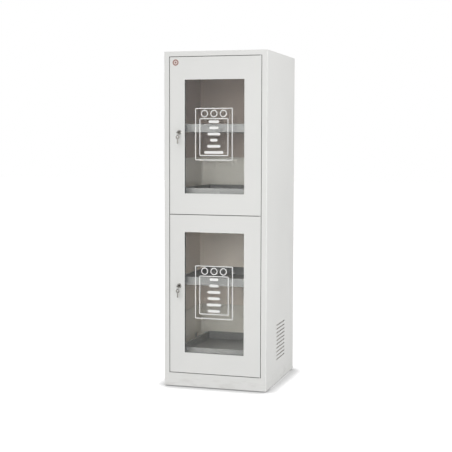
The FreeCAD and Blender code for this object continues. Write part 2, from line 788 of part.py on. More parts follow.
def hinge_pins():
    """Three pins on the hinge line: one under, one between and one over the doors."""
    body = new_body("hinge_pins", x="Places.hinge_x", y="Places.hinge_y")
    reach = "Sizes.hinge_pin_reach"
    low_seat = "Sizes.plinth_height - Sizes.sheet_thickness - Sizes.hinge_plate_thickness"
    high_seat = "Places.opening_top + Sizes.sheet_thickness + Sizes.hinge_plate_thickness"
    spans = [
        (low_seat, f"Places.lower_door_z + {reach}"),
        (f"Places.doors_meet - Sizes.door_gap / 2 - {reach}",
         f"Places.doors_meet + Sizes.door_gap / 2 + {reach}"),
        (f"Places.opening_top - Sizes.door_gap - {reach}", high_seat),
    ]
    for low, high in spans:
        pad(body, circle(body, "XY", "0", "0", "Sizes.hinge_pin_radius", low), f"{high} - ({low})")
    return body


def door_buffers():
    """Soft stops on the rebate lip at the lock side, two for each door."""
    body = new_body("door_buffers", y="Places.front_y + Sizes.frame_rebate_depth")
    across = "-Places.opening_half + Sizes.frame_lip_width / 2"
    thickness = "Sizes.frame_rebate_depth - Sizes.door_thickness - Sizes.buffer_gap"
    sketch = new_sketch(body, "XZ", "0")
    for level in DOORS:
        low = f"Places.{level}_door_z + Sizes.buffer_end_inset"
        high = f"Places.{level}_door_z + Places.{level}_door_tall - Sizes.buffer_end_inset"
        for height in (low, high):
            add_circle(sketch, across, height, "Sizes.buffer_radius")
    pad(body, sketch, thickness, False)
    return body


def window_outline(body, level, grow, depth, radius="Sizes.window_corner_radius"):
    """The window's outline in a door's own axes, larger by grow, at a depth behind the face."""
    sill = f"Sizes.{level}_window_sill"
    return rounded(
        body, "XZ", f"Places.window_left - ({grow})", f"{sill} - ({grow})",
        f"Places.window_right + {grow}", f"{sill} + Sizes.{level}_window_height + {grow}", radius, depth,
    )


def door_body(name, level):
    return new_body(f"{level}_door_{name}", y="Places.front_y", z=f"Places.{level}_door_z")


def lock_hole(body, level, radius, start, length):
    height = f"Sizes.{level}_lock_height"
    return pocket(body, circle(body, "XZ", "Places.lock_x", height, radius, start), length)


def door_skin(level):
    """Outer door sheet: a face with all four edges folded back, the window and the lock hole."""
    body = door_body("skin", level)
    half = "Places.door_half"
    tall = f"Places.{level}_door_tall"
    skin = "Sizes.door_sheet"
    pad(body, rectangle(body, "XZ", f"-{half}", "0", half, tall), "Sizes.door_thickness")

    def face_edge(edge, middle):
        at_side = is_straight_along(edge, "z") and abs(abs(middle.x) - number(half)) < 1e-4
        at_end = is_straight_along(edge, "x") and (near(middle.z, "0") or near(middle.z, tall))
        return near(middle.y, "0") and (at_side or at_end)

    fillet(body, face_edge, "Sizes.door_bend_radius")
    hollow = rectangle(body, "XZ", f"{skin} - {half}", skin, f"{half} - {skin}", f"{tall} - {skin}", skin)
    pocket(body, hollow, "Sizes.door_thickness")
    pocket(body, window_outline(body, level, "0", "-Sizes.overrun"), f"{skin} + 2 * Sizes.overrun")
    lock_hole(body, level, "Sizes.lock_body_radius", "-Sizes.overrun", f"{skin} + 2 * Sizes.overrun")
    hole = circle(body, "XY", "Places.hinge_x", "Sizes.hinge_inset",
                  "Sizes.hinge_pin_radius + Sizes.hinge_hole_gap", "-Sizes.overrun")
    pocket(body, hole, f"{tall} + 2 * Sizes.overrun")
    return body


def door_inner_pan(level):
    """Inner door sheet: a lid with short edges that closes the back of the outer sheet."""
    body = door_body("inner_pan", level)
    skin = "Sizes.door_sheet"
    inset = f"({skin} + Sizes.door_fit)"
    half = f"(Places.door_half - {inset})"
    tall = f"Places.{level}_door_tall"
    back = "Sizes.door_thickness"
    start = f"{back} - Sizes.inner_pan_edge"
    outside = rectangle(body, "XZ", f"-{half}", inset, half, f"{tall} - {inset}", start)
    pad(body, outside, "Sizes.inner_pan_edge")
    hollow = rectangle(
        body, "XZ", f"{skin} - {half}", f"{inset} + {skin}", f"{half} - {skin}",
        f"{tall} - {inset} - {skin}", f"{start} - Sizes.overrun",
    )
    pocket(body, hollow, f"Sizes.inner_pan_edge - {skin} + Sizes.overrun")
    grow = "(Sizes.gasket_lip + Sizes.glazing_sheet + Sizes.door_fit)"
    opening = window_outline(body, level, grow, f"{back} - {skin} - Sizes.overrun")
    pocket(body, opening, f"{skin} + 2 * Sizes.overrun")
    lock_hole(body, level, "Sizes.lock_body_radius", f"{back} - {skin} - Sizes.overrun",
              f"{skin} + 2 * Sizes.overrun")
    return body


def door_glass(level):
    body = door_body("glass", level)
    pane = window_outline(body, level, "Sizes.glass_cover", "Places.glass_front")
    pad(body, pane, "Sizes.glass_thickness")
    return body


def door_gasket(level):
    """Rubber channel round the edge of the glass, with a lip before and a lip behind it."""
    body = door_body("gasket", level)
    grow = "(Sizes.glass_cover + Sizes.gasket_rim)"
    depth = "Places.gasket_back - Sizes.gasket_setback"
    start = "Sizes.gasket_setback"
    pad(body, window_outline(body, level, grow, start), depth)
    opening = window_outline(body, level, "Sizes.gasket_lip", f"{start} - Sizes.overrun")
    pocket(body, opening, f"{depth} + 2 * Sizes.overrun")
    groove = window_outline(body, level, "Sizes.glass_cover", "Places.glass_front")
    pocket(body, groove, "Sizes.glass_thickness")
    return body


def door_glazing_frame(level):
    """Steel frame that holds gasket and glass from behind: a wall and a flange on the inner pan."""
    body = door_body("glazing_frame", level)
    inside = "Sizes.gasket_lip"
    outside = f"({inside} + Sizes.glazing_sheet)"
    back = "Sizes.door_thickness"
    wall = window_outline(body, level, outside, "Places.gasket_back")
    pad(body, wall, f"{back} + Sizes.glazing_sheet - Places.gasket_back")
    flange = window_outline(body, level, f"({inside} + Sizes.glazing_flange_width)", back)
    pad(body, flange, "Sizes.glazing_sheet")
    opening = window_outline(body, level, inside, f"Places.gasket_back - Sizes.overrun")
    pocket(body, opening, f"{back} + Sizes.glazing_sheet - Places.gasket_back + 2 * Sizes.overrun")
    return body


def door_hinge_blocks(level):
    """Bearing blocks in the two corners of the door, bored for the hinge pins."""
    body = door_body("hinge_blocks", level)
    skin = "Sizes.door_sheet"
    right = f"Places.door_half - {skin}"
    tall = f"Places.{level}_door_tall"
    for low in (skin, f"{tall} - {skin} - Sizes.hinge_block_height"):
        outline = rectangle(body, "XY", f"{right} - Sizes.hinge_block_width", skin, right,
                            f"{skin} + Sizes.hinge_block_depth", low)
        pad(body, outline, "Sizes.hinge_block_height")
    bore = circle(body, "XY", "Places.hinge_x", "Sizes.hinge_inset",
                  "Sizes.hinge_pin_radius + Sizes.hinge_running_gap", "0")
    pocket(body, bore, tall)
    return body


def lock_piece(name, level):
    """A body whose own origin is on the lock's axis, at the face of the door."""
    return new_body(f"{level}_{name}", x="Places.lock_x", y="Places.front_y", z=f"Places.{level}_lock_z")


def lock_back():
    """Depth of the end of the lock's threaded body behind the door's face."""
    return "Sizes.door_thickness + Sizes.lock_nut_thickness"


def lock_body(level):
    """Turned lock housing: a rosette on the door's face and a body through both door sheets."""
    body = lock_piece("lock_body", level)
    bore = "(Sizes.lock_plug_radius + Sizes.lock_running_gap)"
    rosette = "Sizes.lock_rosette_radius"
    face = "-Sizes.lock_rosette_height"
    section = [
        (bore, face),
        (f"{rosette} - Sizes.lock_rosette_height / 2", face),
        (rosette, f"{face} / 2"),
        (rosette, "0"),
        ("Sizes.lock_body_radius", "0"),
        ("Sizes.lock_body_radius", lock_back()),
        (bore, lock_back()),
    ]
    revolve(body, polygon(body, "XY", section), "Y")
    return body


def lock_nut(level):
    body = lock_piece("lock_nut", level)
    corners = [
        (f"{math.cos(turn):.6f} * Sizes.lock_nut_radius", f"{math.sin(turn):.6f} * Sizes.lock_nut_radius")
        for turn in (i * math.pi / 3 for i in range(6))
    ]
    sketch = polygon(body, "XZ", corners, "Sizes.door_thickness")
    add_circle(sketch, "0", "0", "Sizes.lock_body_radius")
    pad(body, sketch, "Sizes.lock_nut_thickness")
    return body


def lock_plug(level):
    """Turning plug with its key slot, square tail and the collar that keeps the cam on."""
    body = lock_piece("lock_plug", level)
    face = "-Places.key_face"
    tail = "Sizes.lock_tail_width / 2"
    collar = "Sizes.lock_collar_radius"
    cam_back = f"({lock_back()} + Sizes.cam_gap + Sizes.cam_thickness)"
    barrel = circle(body, "XZ", "0", "0", "Sizes.lock_plug_radius", face)
    pad(body, barrel, f"{lock_back()} + Places.key_face")
    square = rectangle(body, "XZ", f"-{tail}", f"-{tail}", tail, tail, lock_back())
    pad(body, square, "Sizes.cam_gap + Sizes.cam_thickness")
    pad(body, circle(body, "XZ", "0", "0", collar, cam_back), "Sizes.lock_collar_height")
    half_wide = "(Sizes.key_blade_width / 2 + Sizes.key_slot_gap)"
    half_thick = "(Sizes.key_thickness / 2 + Sizes.key_slot_gap)"
    slot = rectangle(body, "XZ", f"-{half_wide}", f"-{half_thick}", half_wide, half_thick,
                     f"{face} - Sizes.overrun")
    pocket(body, slot, "Sizes.overrun + Sizes.key_blade_length + Sizes.key_slot_gap")
    return body


def lock_cam(level):
    """Cam that swings behind the frame's lip; it hangs down while the lock is open."""
    body = lock_piece("lock_cam", level)
    start = f"{lock_back()} + Sizes.cam_gap"
    half = "Sizes.cam_width / 2"
    tail = "(Sizes.lock_tail_width / 2)"
    outline = rounded(body, "XZ", f"-({half})", "-Sizes.cam_length", half, half,
                      f"{half} - Sizes.lock_running_gap", start)
    pad(body, outline, "Sizes.cam_thickness")
    square = rectangle(body, "XZ", f"-{tail}", f"-{tail}", tail, tail, f"{start} - Sizes.overrun")
    pocket(body, square, "Sizes.cam_thickness + 2 * Sizes.overrun")
    return body


def key_profile(body, plane, bow, tip_sign, offset):
    """Round bow and straight blade of a key; bow is the place of the bow's centre along the key."""
    blade = "Sizes.key_blade_width / 2"
    reach = "(Sizes.key_bow_radius + Sizes.key_shoulder + Sizes.key_blade_length)"
    tip = f"{bow} {tip_sign} ({reach} - {blade})"
    end = f"{bow} {tip_sign} {reach}"
    head = pad(body, circle(body, plane, "0", bow, "Sizes.key_bow_radius", offset), "Sizes.key_thickness")
    outline = [(f"-{blade}", bow), (blade, bow), (blade, tip), ("0", end), (f"-{blade}", tip)]
    shank = pad(body, polygon(body, plane, outline, offset), "Sizes.key_thickness")
    return head, shank


def cut_key_teeth(body, plane, first, tip_sign, offset):
    """Notches of the key's bitting along one edge of the blade, from the tip inwards."""
    edge = "Sizes.key_blade_width / 2"
    pitch = "Sizes.key_cut_pitch"
    start = f"{offset} - Sizes.overrun"
    notch = [
        (f"{edge} + Sizes.overrun", f"{first} - {pitch} / 2"),
        (f"{edge} + Sizes.overrun", f"{first} + {pitch} / 2"),
        (f"{edge} - Sizes.key_cut_depth", first),
    ]
    cut = pocket(body, polygon(body, plane, notch, start), "Sizes.key_thickness + 2 * Sizes.overrun")
    span = f"{pitch} * (Sizes.key_cut_count - 1)"
    row = repeat(body, [cut], "Y" if plane == "XY" else "Z", span, "Sizes.key_cut_count")
    row.Reversed = tip_sign == "+"
    doc.recompute()


def cut_key_hole(body, plane, low, high, offset):
    """Oblong hole in the bow, from low to high along the key."""
    radius = "Sizes.key_hole_radius"
    slot = rounded(body, plane, f"-{radius}", low, radius, high,
                   f"{radius} - Sizes.ring_play", f"{offset} - Sizes.overrun")
    pocket(body, slot, "Sizes.key_thickness + 2 * Sizes.overrun")


def key(level):
    """The key in the lock, lying flat, with its bow in front of the door."""
    body = lock_piece("key", level)
    offset = "-Sizes.key_thickness / 2"
    key_profile(body, "XY", "-Places.bow_centre", "+", offset)
    outer = "-Places.bow_centre - Sizes.key_bow_radius + Sizes.key_rim"
    cut_key_hole(body, "XY", outer, f"{outer} + Sizes.key_hole_length", offset)
    tip = "Sizes.key_blade_length - Places.key_face"
    cut_key_teeth(body, "XY", f"{tip} - Sizes.key_blade_width", "+", offset)
    return body


def key_ring(level):
    """Wire ring through the bow of the key; it hangs over the bow's outer rim."""
    ring = doc.addObject("Part::Torus", f"{level}_key_ring")
    ring.Label = f"{level}_key_ring"
    ring.setExpression("Radius1", "Sizes.ring_radius")
    ring.setExpression("Radius2", "Sizes.ring_wire_radius")
    ring.Placement.Rotation = FreeCAD.Rotation(FreeCAD.Vector(0, 1, 0), 90)
    ring.setExpression("Placement.Base.x", "Places.lock_x")
    ring.setExpression("Placement.Base.y", "Places.front_y - Places.rim_reach")
    ring.setExpression("Placement.Base.z", f"Places.{level}_lock_z - Places.ring_drop")
    nodes.append(ring)
    return ring


def spare_key(level):
    """Second key, hanging from the ring with its flat side to the front."""
    body = new_body(f"{level}_spare_key", x="Places.lock_x", y="Places.front_y - Places.rim_reach",
                    z=f"Places.{level}_lock_z")
    offset = "-Sizes.key_thickness / 2"
    key_profile(body, "XZ", "-Places.spare_bow_drop", "-", offset)
    top = "-Places.spare_rim_top - Sizes.key_rim"
    cut_key_hole(body, "XZ", f"{top} - Sizes.key_hole_length", top, offset)
    tip = "-Places.spare_bow_drop - Sizes.key_bow_radius - Sizes.key_shoulder - Sizes.key_blade_length"
    cut_key_teeth(body, "XZ", f"{tip} + Sizes.key_blade_width", "-", offset)
    return body


def tray(name):
    """Pull-out pan with four equal walls and rounded upright corners."""
    body = new_body(f"{name}_tray", y="Places.tray_y", z=f"Places.{name}_tray_z")
    half = "Places.tray_half"
    skin = "Sizes.tray_sheet"
    outer = rounded(body, "XY", f"-{half}", "0", half, "Sizes.tray_depth", "Sizes.tray_corner_radius")
    pad(body, outer, "Sizes.tray_height")
    inner = rounded(
        body, "XY", f"-{half} + {skin}", skin, f"{half} - {skin}", f"Sizes.tray_depth - {skin}",
        f"Sizes.tray_corner_radius - {skin}", skin,
    )
    pocket(body, inner, "Sizes.tray_height")
    rim = rectangle(
        body, "XY", f"-{half} + Sizes.tray_corner_radius", "0", f"{half} - Sizes.tray_corner_radius",
        "Sizes.tray_rim_width", f"Sizes.tray_height - {skin}",
    )
    pad(body, rim, skin)
    return body


def runner_body(name, member):
    return new_body(f"{name}_runner_{member}", y="Places.runner_y",
                    z=f"Places.{name}_tray_z + Places.runner_drop")


def runner_channel(body, web_side, web, flange_end, low, high):
    """Pads one right-hand channel section and mirrors it: web_side is the side of the web's back."""
    skin = "Sizes.runner_sheet"
    inside = f"{web} {'-' if web_side == 'outer' else '+'} {skin}"
    section = [
        (web, low),
        (web, high),
        (flange_end, high),
        (flange_end, f"{high} - {skin}"),
        (inside, f"{high} - {skin}"),
        (inside, f"{low} + {skin}"),
        (flange_end, f"{low} + {skin}"),
        (flange_end, low),
    ]
    half = pad(body, polygon(body, "XZ", section), "Sizes.runner_length")
    mirror_across(body, [half])


def fixed_runners(name):
    """Outer member pair, fast to the brackets on the side walls."""
    body = runner_body(name, "fixed")
    web = "Places.runner_outer"
    runner_channel(body, "outer", web, f"{web} - Sizes.runner_sheet - Sizes.runner_flange", "0",
                   "Sizes.runner_height")
    return body


def middle_runners(name):
    """Middle member pair, nested in the outer members."""
    body = runner_body(name, "middle")
    step = "(Sizes.runner_sheet + Sizes.runner_play)"
    web = f"Places.runner_outer - {step}"
    runner_channel(body, "outer", web, f"{web} - Sizes.runner_sheet - Sizes.runner_flange", step,
                   f"Sizes.runner_height - {step}")
    return body


def inner_runners(name):
    """Inner member pair, fast to the tray's side walls and nested in the middle members."""
    body = runner_body(name, "inner")
    step = "(2 * (Sizes.runner_sheet + Sizes.runner_play))"
    web = "Places.tray_half"
    runner_channel(body, "inner", web, f"{web} + Sizes.runner_flange", step,
                   f"Sizes.runner_height - {step}")
    return body


def bracket_set(name):
    """Four short channels that carry one pair of runners off the side walls."""
    wall = "Places.wall_inner"
    inner = "Places.runner_outer"
    skin = "Sizes.bracket_sheet"
    tall = "Sizes.runner_height"
    body = new_body(f"{name}_brackets", y="Places.runner_y",
                    z=f"Places.{name}_tray_z + Places.runner_drop")
    nodes.remove(body)
    section = [
        (inner, "0"),
        (wall, "0"),
        (wall, tall),
        (f"{wall} - {skin}", tall),
        (f"{wall} - {skin}", skin),
        (f"{inner} + {skin}", skin),
        (f"{inner} + {skin}", tall),
        (inner, tall),
    ]
    first = pad(body, polygon(body, "XZ", section), "Sizes.bracket_length")
    repeat(body, [first], "Y", "Places.bracket_span", "2")
    mirror_whole(body)
    return body


def slide_brackets():
    """All the runner brackets as one group of separate pieces."""
    group = doc.addObject("Part::Compound", "slide_brackets")
    group.Label = "slide_brackets"
    group.Links = [bracket_set(name) for name in TRAYS]
    nodes.append(group)
    return group


def build_casing():
    side_panel("left_side_panel", "-")
    side_panel("right_side_panel", "")
    top_panel()
    front_plinth()
    folded_floor("base_panel", "Places.lower_floor")
    folded_floor("divider_panel", "Places.upper_floor")
    back_panel()
    back_screws()
    levelling_feet()
    foot_plates()
    for level in DOORS:
        sump_liner(level)
    end_hinge_plates()
    middle_hinge_plate()
    hinge_pins()
    door_buffers()
    slide_brackets()


def build_doors():
    makers = (
        door_skin, door_inner_pan, door_glass, door_gasket, door_glazing_frame, door_hinge_blocks,
        lock_body, lock_nut, lock_plug, lock_cam, key, key_ring, spare_key,
    )
    for level in DOORS:
        for make in makers:
            make(level)


def build_trays():
    for name in TRAYS:
        for make in (tray, fixed_runners, middle_runners, inner_runners):
            make(name)


def check_and_write():
    """Refuses a failed feature or a broken shape, then writes one STEP file for each node."""
    doc.recompute()
    failed = [item.Label for item in doc.Objects if set(item.State) & {"Invalid", "Error"}]
    if failed:
        raise ValueError(f"failed features: {failed}")
    for node in nodes:
        if node.Shape.isNull() or not node.Shape.isValid() or not node.Shape.Solids:
            raise ValueError(f"broken shape: {node.Label}")
    os.makedirs("parts", exist_ok=True)
    for node in nodes:
        node.Shape.exportStep(f"parts/{node.Label}.step")
    print(f"{len(nodes)} nodes, {sum(len(node.Shape.Solids) for node in nodes)} solids")


build_casing()
build_doors()
build_trays()
check_and_write()
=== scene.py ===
# %% [markdown]
# # A glazed reagent cabinet
# A tall sheet-steel cabinet with two glazed doors and four pull-out trays. The pieces themselves come
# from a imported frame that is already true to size. This lesson gives every one of them a finish, adds
# the small parts that are too fine for the frame, and sets up a plain studio around them.

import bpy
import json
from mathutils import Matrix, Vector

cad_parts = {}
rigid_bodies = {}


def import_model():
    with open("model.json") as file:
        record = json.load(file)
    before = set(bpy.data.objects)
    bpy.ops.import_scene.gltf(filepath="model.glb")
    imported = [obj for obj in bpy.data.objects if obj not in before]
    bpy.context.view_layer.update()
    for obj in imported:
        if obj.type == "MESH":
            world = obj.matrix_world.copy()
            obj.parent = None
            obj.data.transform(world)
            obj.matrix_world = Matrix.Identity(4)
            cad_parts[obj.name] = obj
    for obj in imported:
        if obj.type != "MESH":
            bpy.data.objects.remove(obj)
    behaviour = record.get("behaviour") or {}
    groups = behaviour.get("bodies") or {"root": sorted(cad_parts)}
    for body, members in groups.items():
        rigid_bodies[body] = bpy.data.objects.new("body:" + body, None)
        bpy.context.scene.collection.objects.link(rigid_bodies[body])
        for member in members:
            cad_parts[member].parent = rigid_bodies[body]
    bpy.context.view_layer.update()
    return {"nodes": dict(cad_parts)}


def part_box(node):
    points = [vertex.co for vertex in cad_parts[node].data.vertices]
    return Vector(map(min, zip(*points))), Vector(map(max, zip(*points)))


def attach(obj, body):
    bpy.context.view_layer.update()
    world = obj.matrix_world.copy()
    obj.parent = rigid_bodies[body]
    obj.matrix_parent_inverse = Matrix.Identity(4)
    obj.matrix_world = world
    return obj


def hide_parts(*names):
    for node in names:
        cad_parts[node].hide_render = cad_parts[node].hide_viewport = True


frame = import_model()

# %% Python modules
import json
import math

import bmesh
import bpy
from mathutils import Euler, Matrix, Vector

# %% [markdown]
# ## Where things are
# Most places come from the boxes of the frame's own nodes. Only the louvres, the print and the round
# mark have measured places of their own. All lengths are in metres, and MM turns millimetres into them.

# %% Places read from the frame
MM = 0.001
DOORS = ("upper", "lower")
TRAYS = ("upper_high", "upper_low", "lower_high", "lower_low")

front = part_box("upper_door_skin")[0].y
back_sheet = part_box("back_panel")[0].y
wall_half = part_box("right_side_panel")[1].x
base_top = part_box("base_panel")[1].z
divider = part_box("divider_panel")[1].z
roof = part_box("top_panel")[1].z
print(f"front {front:.4f}, back sheet {back_sheet:.4f}, half width {wall_half:.4f}, roof {roof:.4f}")


def middle(node):
    """The middle of a node's box."""
    low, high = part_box(node)
    return (low + high) / 2


# %% [markdown]
# ## Shader maths in Python
# A finish is a small graph: noise and waves are mixed, sharpened and fed to a shader. Written node by
# node that is long and hard to read. Here one small class wraps an output socket, so that a line such
# as `0.4 + 0.1 * grain` adds the Math nodes by itself, and one method adds any other node.

# %% A socket that can be calculated with
class Wire:
    """One output socket of a node tree, with Python's operators for Math nodes."""

    def __init__(self, tree, socket):
        self.tree = tree
        self.socket = socket

    def math(self, operation, *others):
        """The result of one Math node."""
        return self.tree.add("ShaderNodeMath", [self, *others], operation=operation)

    def __add__(self, other):
        return self.math("ADD", other)

    __radd__ = __add__

    def __mul__(self, other):
        return self.math("MULTIPLY", other)

    __rmul__ = __mul__

    def __sub__(self, other):
        return self.math("SUBTRACT", other)

    def __rsub__(self, other):
        return self.tree.add("ShaderNodeMath", [other, self], operation="SUBTRACT")

    def __truediv__(self, other):
        return self.math("DIVIDE", other)

    def __pow__(self, other):
        return self.math("POWER", other)

    def __gt__(self, other):
        return self.math("GREATER_THAN", other)

    def __lt__(self, other):
        return self.math("LESS_THAN", other)

    def between(self, low, high):
        """0 below low, 1 above high, and smooth in the middle."""
        return self.tree.add(
            "ShaderNodeMapRange", {"Value": self, "From Min": low, "From Max": high},
            interpolation_type="SMOOTHSTEP",
        )


# %% A node tree that adds and links in one call
class Tree:
    """Adds nodes to a shader or geometry tree and gives back a Wire of the chosen output."""

    def __init__(self, group):
        self.group = group

    def add(self, kind, values=(), output=0, **settings):
        node = self.group.nodes.new(kind)
        for name, value in settings.items():
            setattr(node, name, value)
        inputs = [socket for socket in node.inputs if socket.enabled and not socket.is_unavailable]
        named = values.items() if isinstance(values, dict) else enumerate(values)
        for key, value in named:
            socket = inputs[key] if isinstance(key, int) else self.find(inputs, key)
            self.feed(socket, value)
        outputs = [socket for socket in node.outputs if socket.enabled and not socket.is_unavailable]
        if not outputs:
            return None
        return Wire(self, outputs[output] if isinstance(output, int) else self.find(outputs, output))

    def find(self, sockets, name):
        """The first socket of a name."""
        return [socket for socket in sockets if socket.name == name][0]

    def feed(self, socket, value):
        """Links a Wire to a socket, or sets a plain value on it."""
        if isinstance(value, Wire):
            self.group.links.new(value.socket, socket)
        elif socket.type == "RGBA":
            socket.default_value = (*value[:3], 1)
        else:
            socket.default_value = value

    def mix(self, factor, first, second):
        """A colour between two colours."""
        return self.add("ShaderNodeMix", {"Factor": factor, "A": first, "B": second}, data_type="RGBA")

    def noise(self, place, scale, detail=2, roughness=0.5):
        """Cloudy numbers that lie about 0.5. A larger scale makes smaller clouds."""
        values = {"Vector": place, "Scale": scale, "Detail": detail, "Roughness": roughness}
        return self.add("ShaderNodeTexNoise", values)

    def stretched(self, place, factors):
        """Coordinates squeezed along chosen axes, which draws a pattern out along the others."""
        return self.add("ShaderNodeVectorMath", [place, factors], operation="MULTIPLY")

    def bump(self, height, strength, depth):
        """A normal that makes a surface look as if it had this height, depth metres at the most."""
        values = {"Height": height, "Strength": strength, "Distance": depth}
        return self.add("ShaderNodeBump", values)


# %% A material from a function
def finish(name, build):
    """Makes a material: build gets the tree and the Object coordinates, and returns its shader."""
    material = bpy.data.materials.new(name)
    material.use_nodes = True
    material.node_tree.nodes.clear()
    tree = Tree(material.node_tree)
    place = tree.add("ShaderNodeTexCoord", output="Object")
    tree.add("ShaderNodeOutputMaterial", {"Surface": build(tree, place)})
    print("finish", name, len(material.node_tree.nodes), "nodes")
    return material


def axes(tree, place):
    """The three coordinates as numbers."""
    node = tree.group.nodes.new("ShaderNodeSeparateXYZ")
    tree.group.links.new(place.socket, node.inputs[0])
    return [Wire(tree, socket) for socket in node.outputs]


# %% [markdown]
# ## Powder coat
# The cabinet is sprayed with dry powder that melts into an even skin. Close up that skin is never flat:
# it has the soft dimples called orange peel, about a millimetre or two wide, and a still finer grain.
# From afar only a very faint cloudiness is left. A plain colour with one noise would do from a distance.
# Two noises in the bump and one wide one in the tone hold up when the camera comes close.

# %% The coat's pale grey and its surface
WHITE = (0.775, 0.775, 0.757)
WHITE_SHADE = (0.735, 0.737, 0.722)
COAT_ROUGHNESS = 0.36
COAT_SPECULAR = 0.42
DRIFT_SCALE, DRIFT_GLOSS = 3.1, 0.07
PEEL_SCALE, PEEL_SHARE = 420, 0.75
GRAIN_SCALE, GRAIN_SHARE = 1500, 0.25
PEEL_STRENGTH = 0.16
PEEL_DEPTH = 0.4 * MM


def peel(tree, place, strength):
    """Orange peel and fine grain as one bump."""
    dimples = PEEL_SHARE * tree.noise(place, PEEL_SCALE)
    grains = GRAIN_SHARE * tree.noise(place, GRAIN_SCALE)
    return tree.bump(dimples + grains, strength, PEEL_DEPTH)


def coat_shader(tree, place, colour, rough, strength=PEEL_STRENGTH):
    """Powder coat of a colour, whose gloss drifts a little over a large sheet."""
    drift = tree.noise(place, DRIFT_SCALE, detail=3)
    values = {
        "Base Color": colour,
        "Roughness": rough + DRIFT_GLOSS * drift,
        "Normal": peel(tree, place, strength),
        "Specular IOR Level": COAT_SPECULAR,
    }
    return tree.add("ShaderNodeBsdfPrincipled", values)


def wide_cloud(tree, place, scale):
    """The faint cloudiness of a tone, from 0 to 1."""
    return tree.noise(place, scale, detail=4).between(0.3, 0.7)


# %% [markdown]
# The casing is pale grey outside. Behind the doors the same sheets look much darker and warmer, so the
# inner faces get painted tones: a warm grey painted shade in the upper compartment and a paler painted
# light in the lower. One material holds them all. It asks where a point lies, and every point within the
# walls, behind the rebate and over the floor belongs to the inside. The rebate, where little light
# reaches past a closed door, and the wall behind the louvres get a dark painted shade. A little dust
# settles near the floor, where mops and shoes reach.

# %% The casing, pale outside, with painted shade and painted light inside
# These inside tones are painted: the warm grey above the divider is painted shade, the pale tone below
# it is painted light.
SHADED_INSIDE_WARM = (0.55, 0.445, 0.38)
SHADED_INSIDE_WARM_CLOUD = (0.49, 0.395, 0.335)
LIT_INSIDE_PALE = (0.95, 0.86, 0.77)
LIT_INSIDE_PALE_CLOUD = (0.9, 0.81, 0.72)
SHEET = 1.2 * MM
REBATE = 22 * MM
DUST = (0.52, 0.51, 0.48)
# The gap grey is painted shade for the rebate and the doors' narrow edges.
GAP_PAINTED_SHADE = (0.12, 0.118, 0.113)
DUST_FROM, DUST_TO = 0.006, 0.11
LOUVRES_BEHIND_FRONT = 0.233, 0.425
LOUVRES_OVER_FLOOR = 0.13, 0.36
# A dark painted shade for the wall behind the louvre slots.
LOUVRE_PAINTED_SHADE = (0.05, 0.049, 0.047)
SMEARS = (6, 6, 22)


def painted_inside_mask(y, z, aside):
    """1 on the inner faces, which the doors hide and which get the painted shade and painted light of
    the inside.
    """
    within = (aside < wall_half - SHEET / 2) * (z < roof - SHEET / 2)
    behind = (y > front + REBATE + SHEET / 2) * (y < back_sheet + SHEET / 4)
    return within * behind * (z > base_top)


def rebate_shade_mask(y, z, aside):
    """1 in the shallow frame that the doors close into, which gets a dark painted shade."""
    deep = (y > front + 0.7 * SHEET) * (y < front + REBATE + 2 * SHEET)
    return deep * (aside < wall_half - 1.5 * SHEET) * (z < roof - 1.5 * SHEET)


def louvre_shade_mask(y, z, aside):
    """1 on the wall's inner side behind the louvres, which gets a dark painted shade."""
    near, far = LOUVRES_BEHIND_FRONT
    lowest, highest = LOUVRES_OVER_FLOOR
    field = (y > front + near) * (y < front + far) * (z > lowest) * (z < highest)
    return field * (aside < wall_half - SHEET / 4)


def casing_coat(tree, place):
    x, y, z = axes(tree, place)
    aside = x.math("ABSOLUTE")
    cloud = wide_cloud(tree, place, 2.3)
    low = 1 - z.between(DUST_FROM, DUST_TO)
    smear = low * tree.noise(tree.stretched(place, SMEARS), 3, detail=5).between(0.42, 0.75)
    outside = tree.mix(0.55 * cloud, WHITE, WHITE_SHADE)
    outside = tree.mix(0.3 * smear, outside, DUST)
    # Painted shade in the rebate round the doors.
    outside = tree.mix(rebate_shade_mask(y, z, aside), outside, GAP_PAINTED_SHADE)
    # Inside, painted light below the divider and a warm painted shade above it.
    pale = tree.mix(cloud, LIT_INSIDE_PALE, LIT_INSIDE_PALE_CLOUD)
    warm = tree.mix(cloud, SHADED_INSIDE_WARM, SHADED_INSIDE_WARM_CLOUD)
    tone = tree.mix(painted_inside_mask(y, z, aside), outside, tree.mix(z > divider, pale, warm))
    # Painted shade on the wall behind the louvres.
    tone = tree.mix(louvre_shade_mask(y, z, aside), tone, LOUVRE_PAINTED_SHADE)
    return coat_shader(tree, place, tone, COAT_ROUGHNESS + 0.1 * smear)


casing_finish = finish("coat_casing", casing_coat)

# %% [markdown]
# A door is touched every day beside its lock. The coat there is rubbed a little smoother, and it is a
# shade greyer. A soft round mask about the lock does that, broken up by noise so that it has no edge.
# The door's narrow edges get the rebate's dark painted shade, so that the gap round it reads as a line.

# %% The doors, with a rubbed patch round each lock and painted shade on their edges
RUBBED_NEAR, RUBBED_FAR = 0.012, 0.085
EDGE_SHADE_FROM = 0.4 * MM


def distance(tree, place, centre):
    """How far a point is from a centre."""
    offset = tree.add("ShaderNodeVectorMath", [place, tuple(centre)], operation="SUBTRACT")
    return tree.add("ShaderNodeVectorMath", [offset], operation="LENGTH", output="Value")


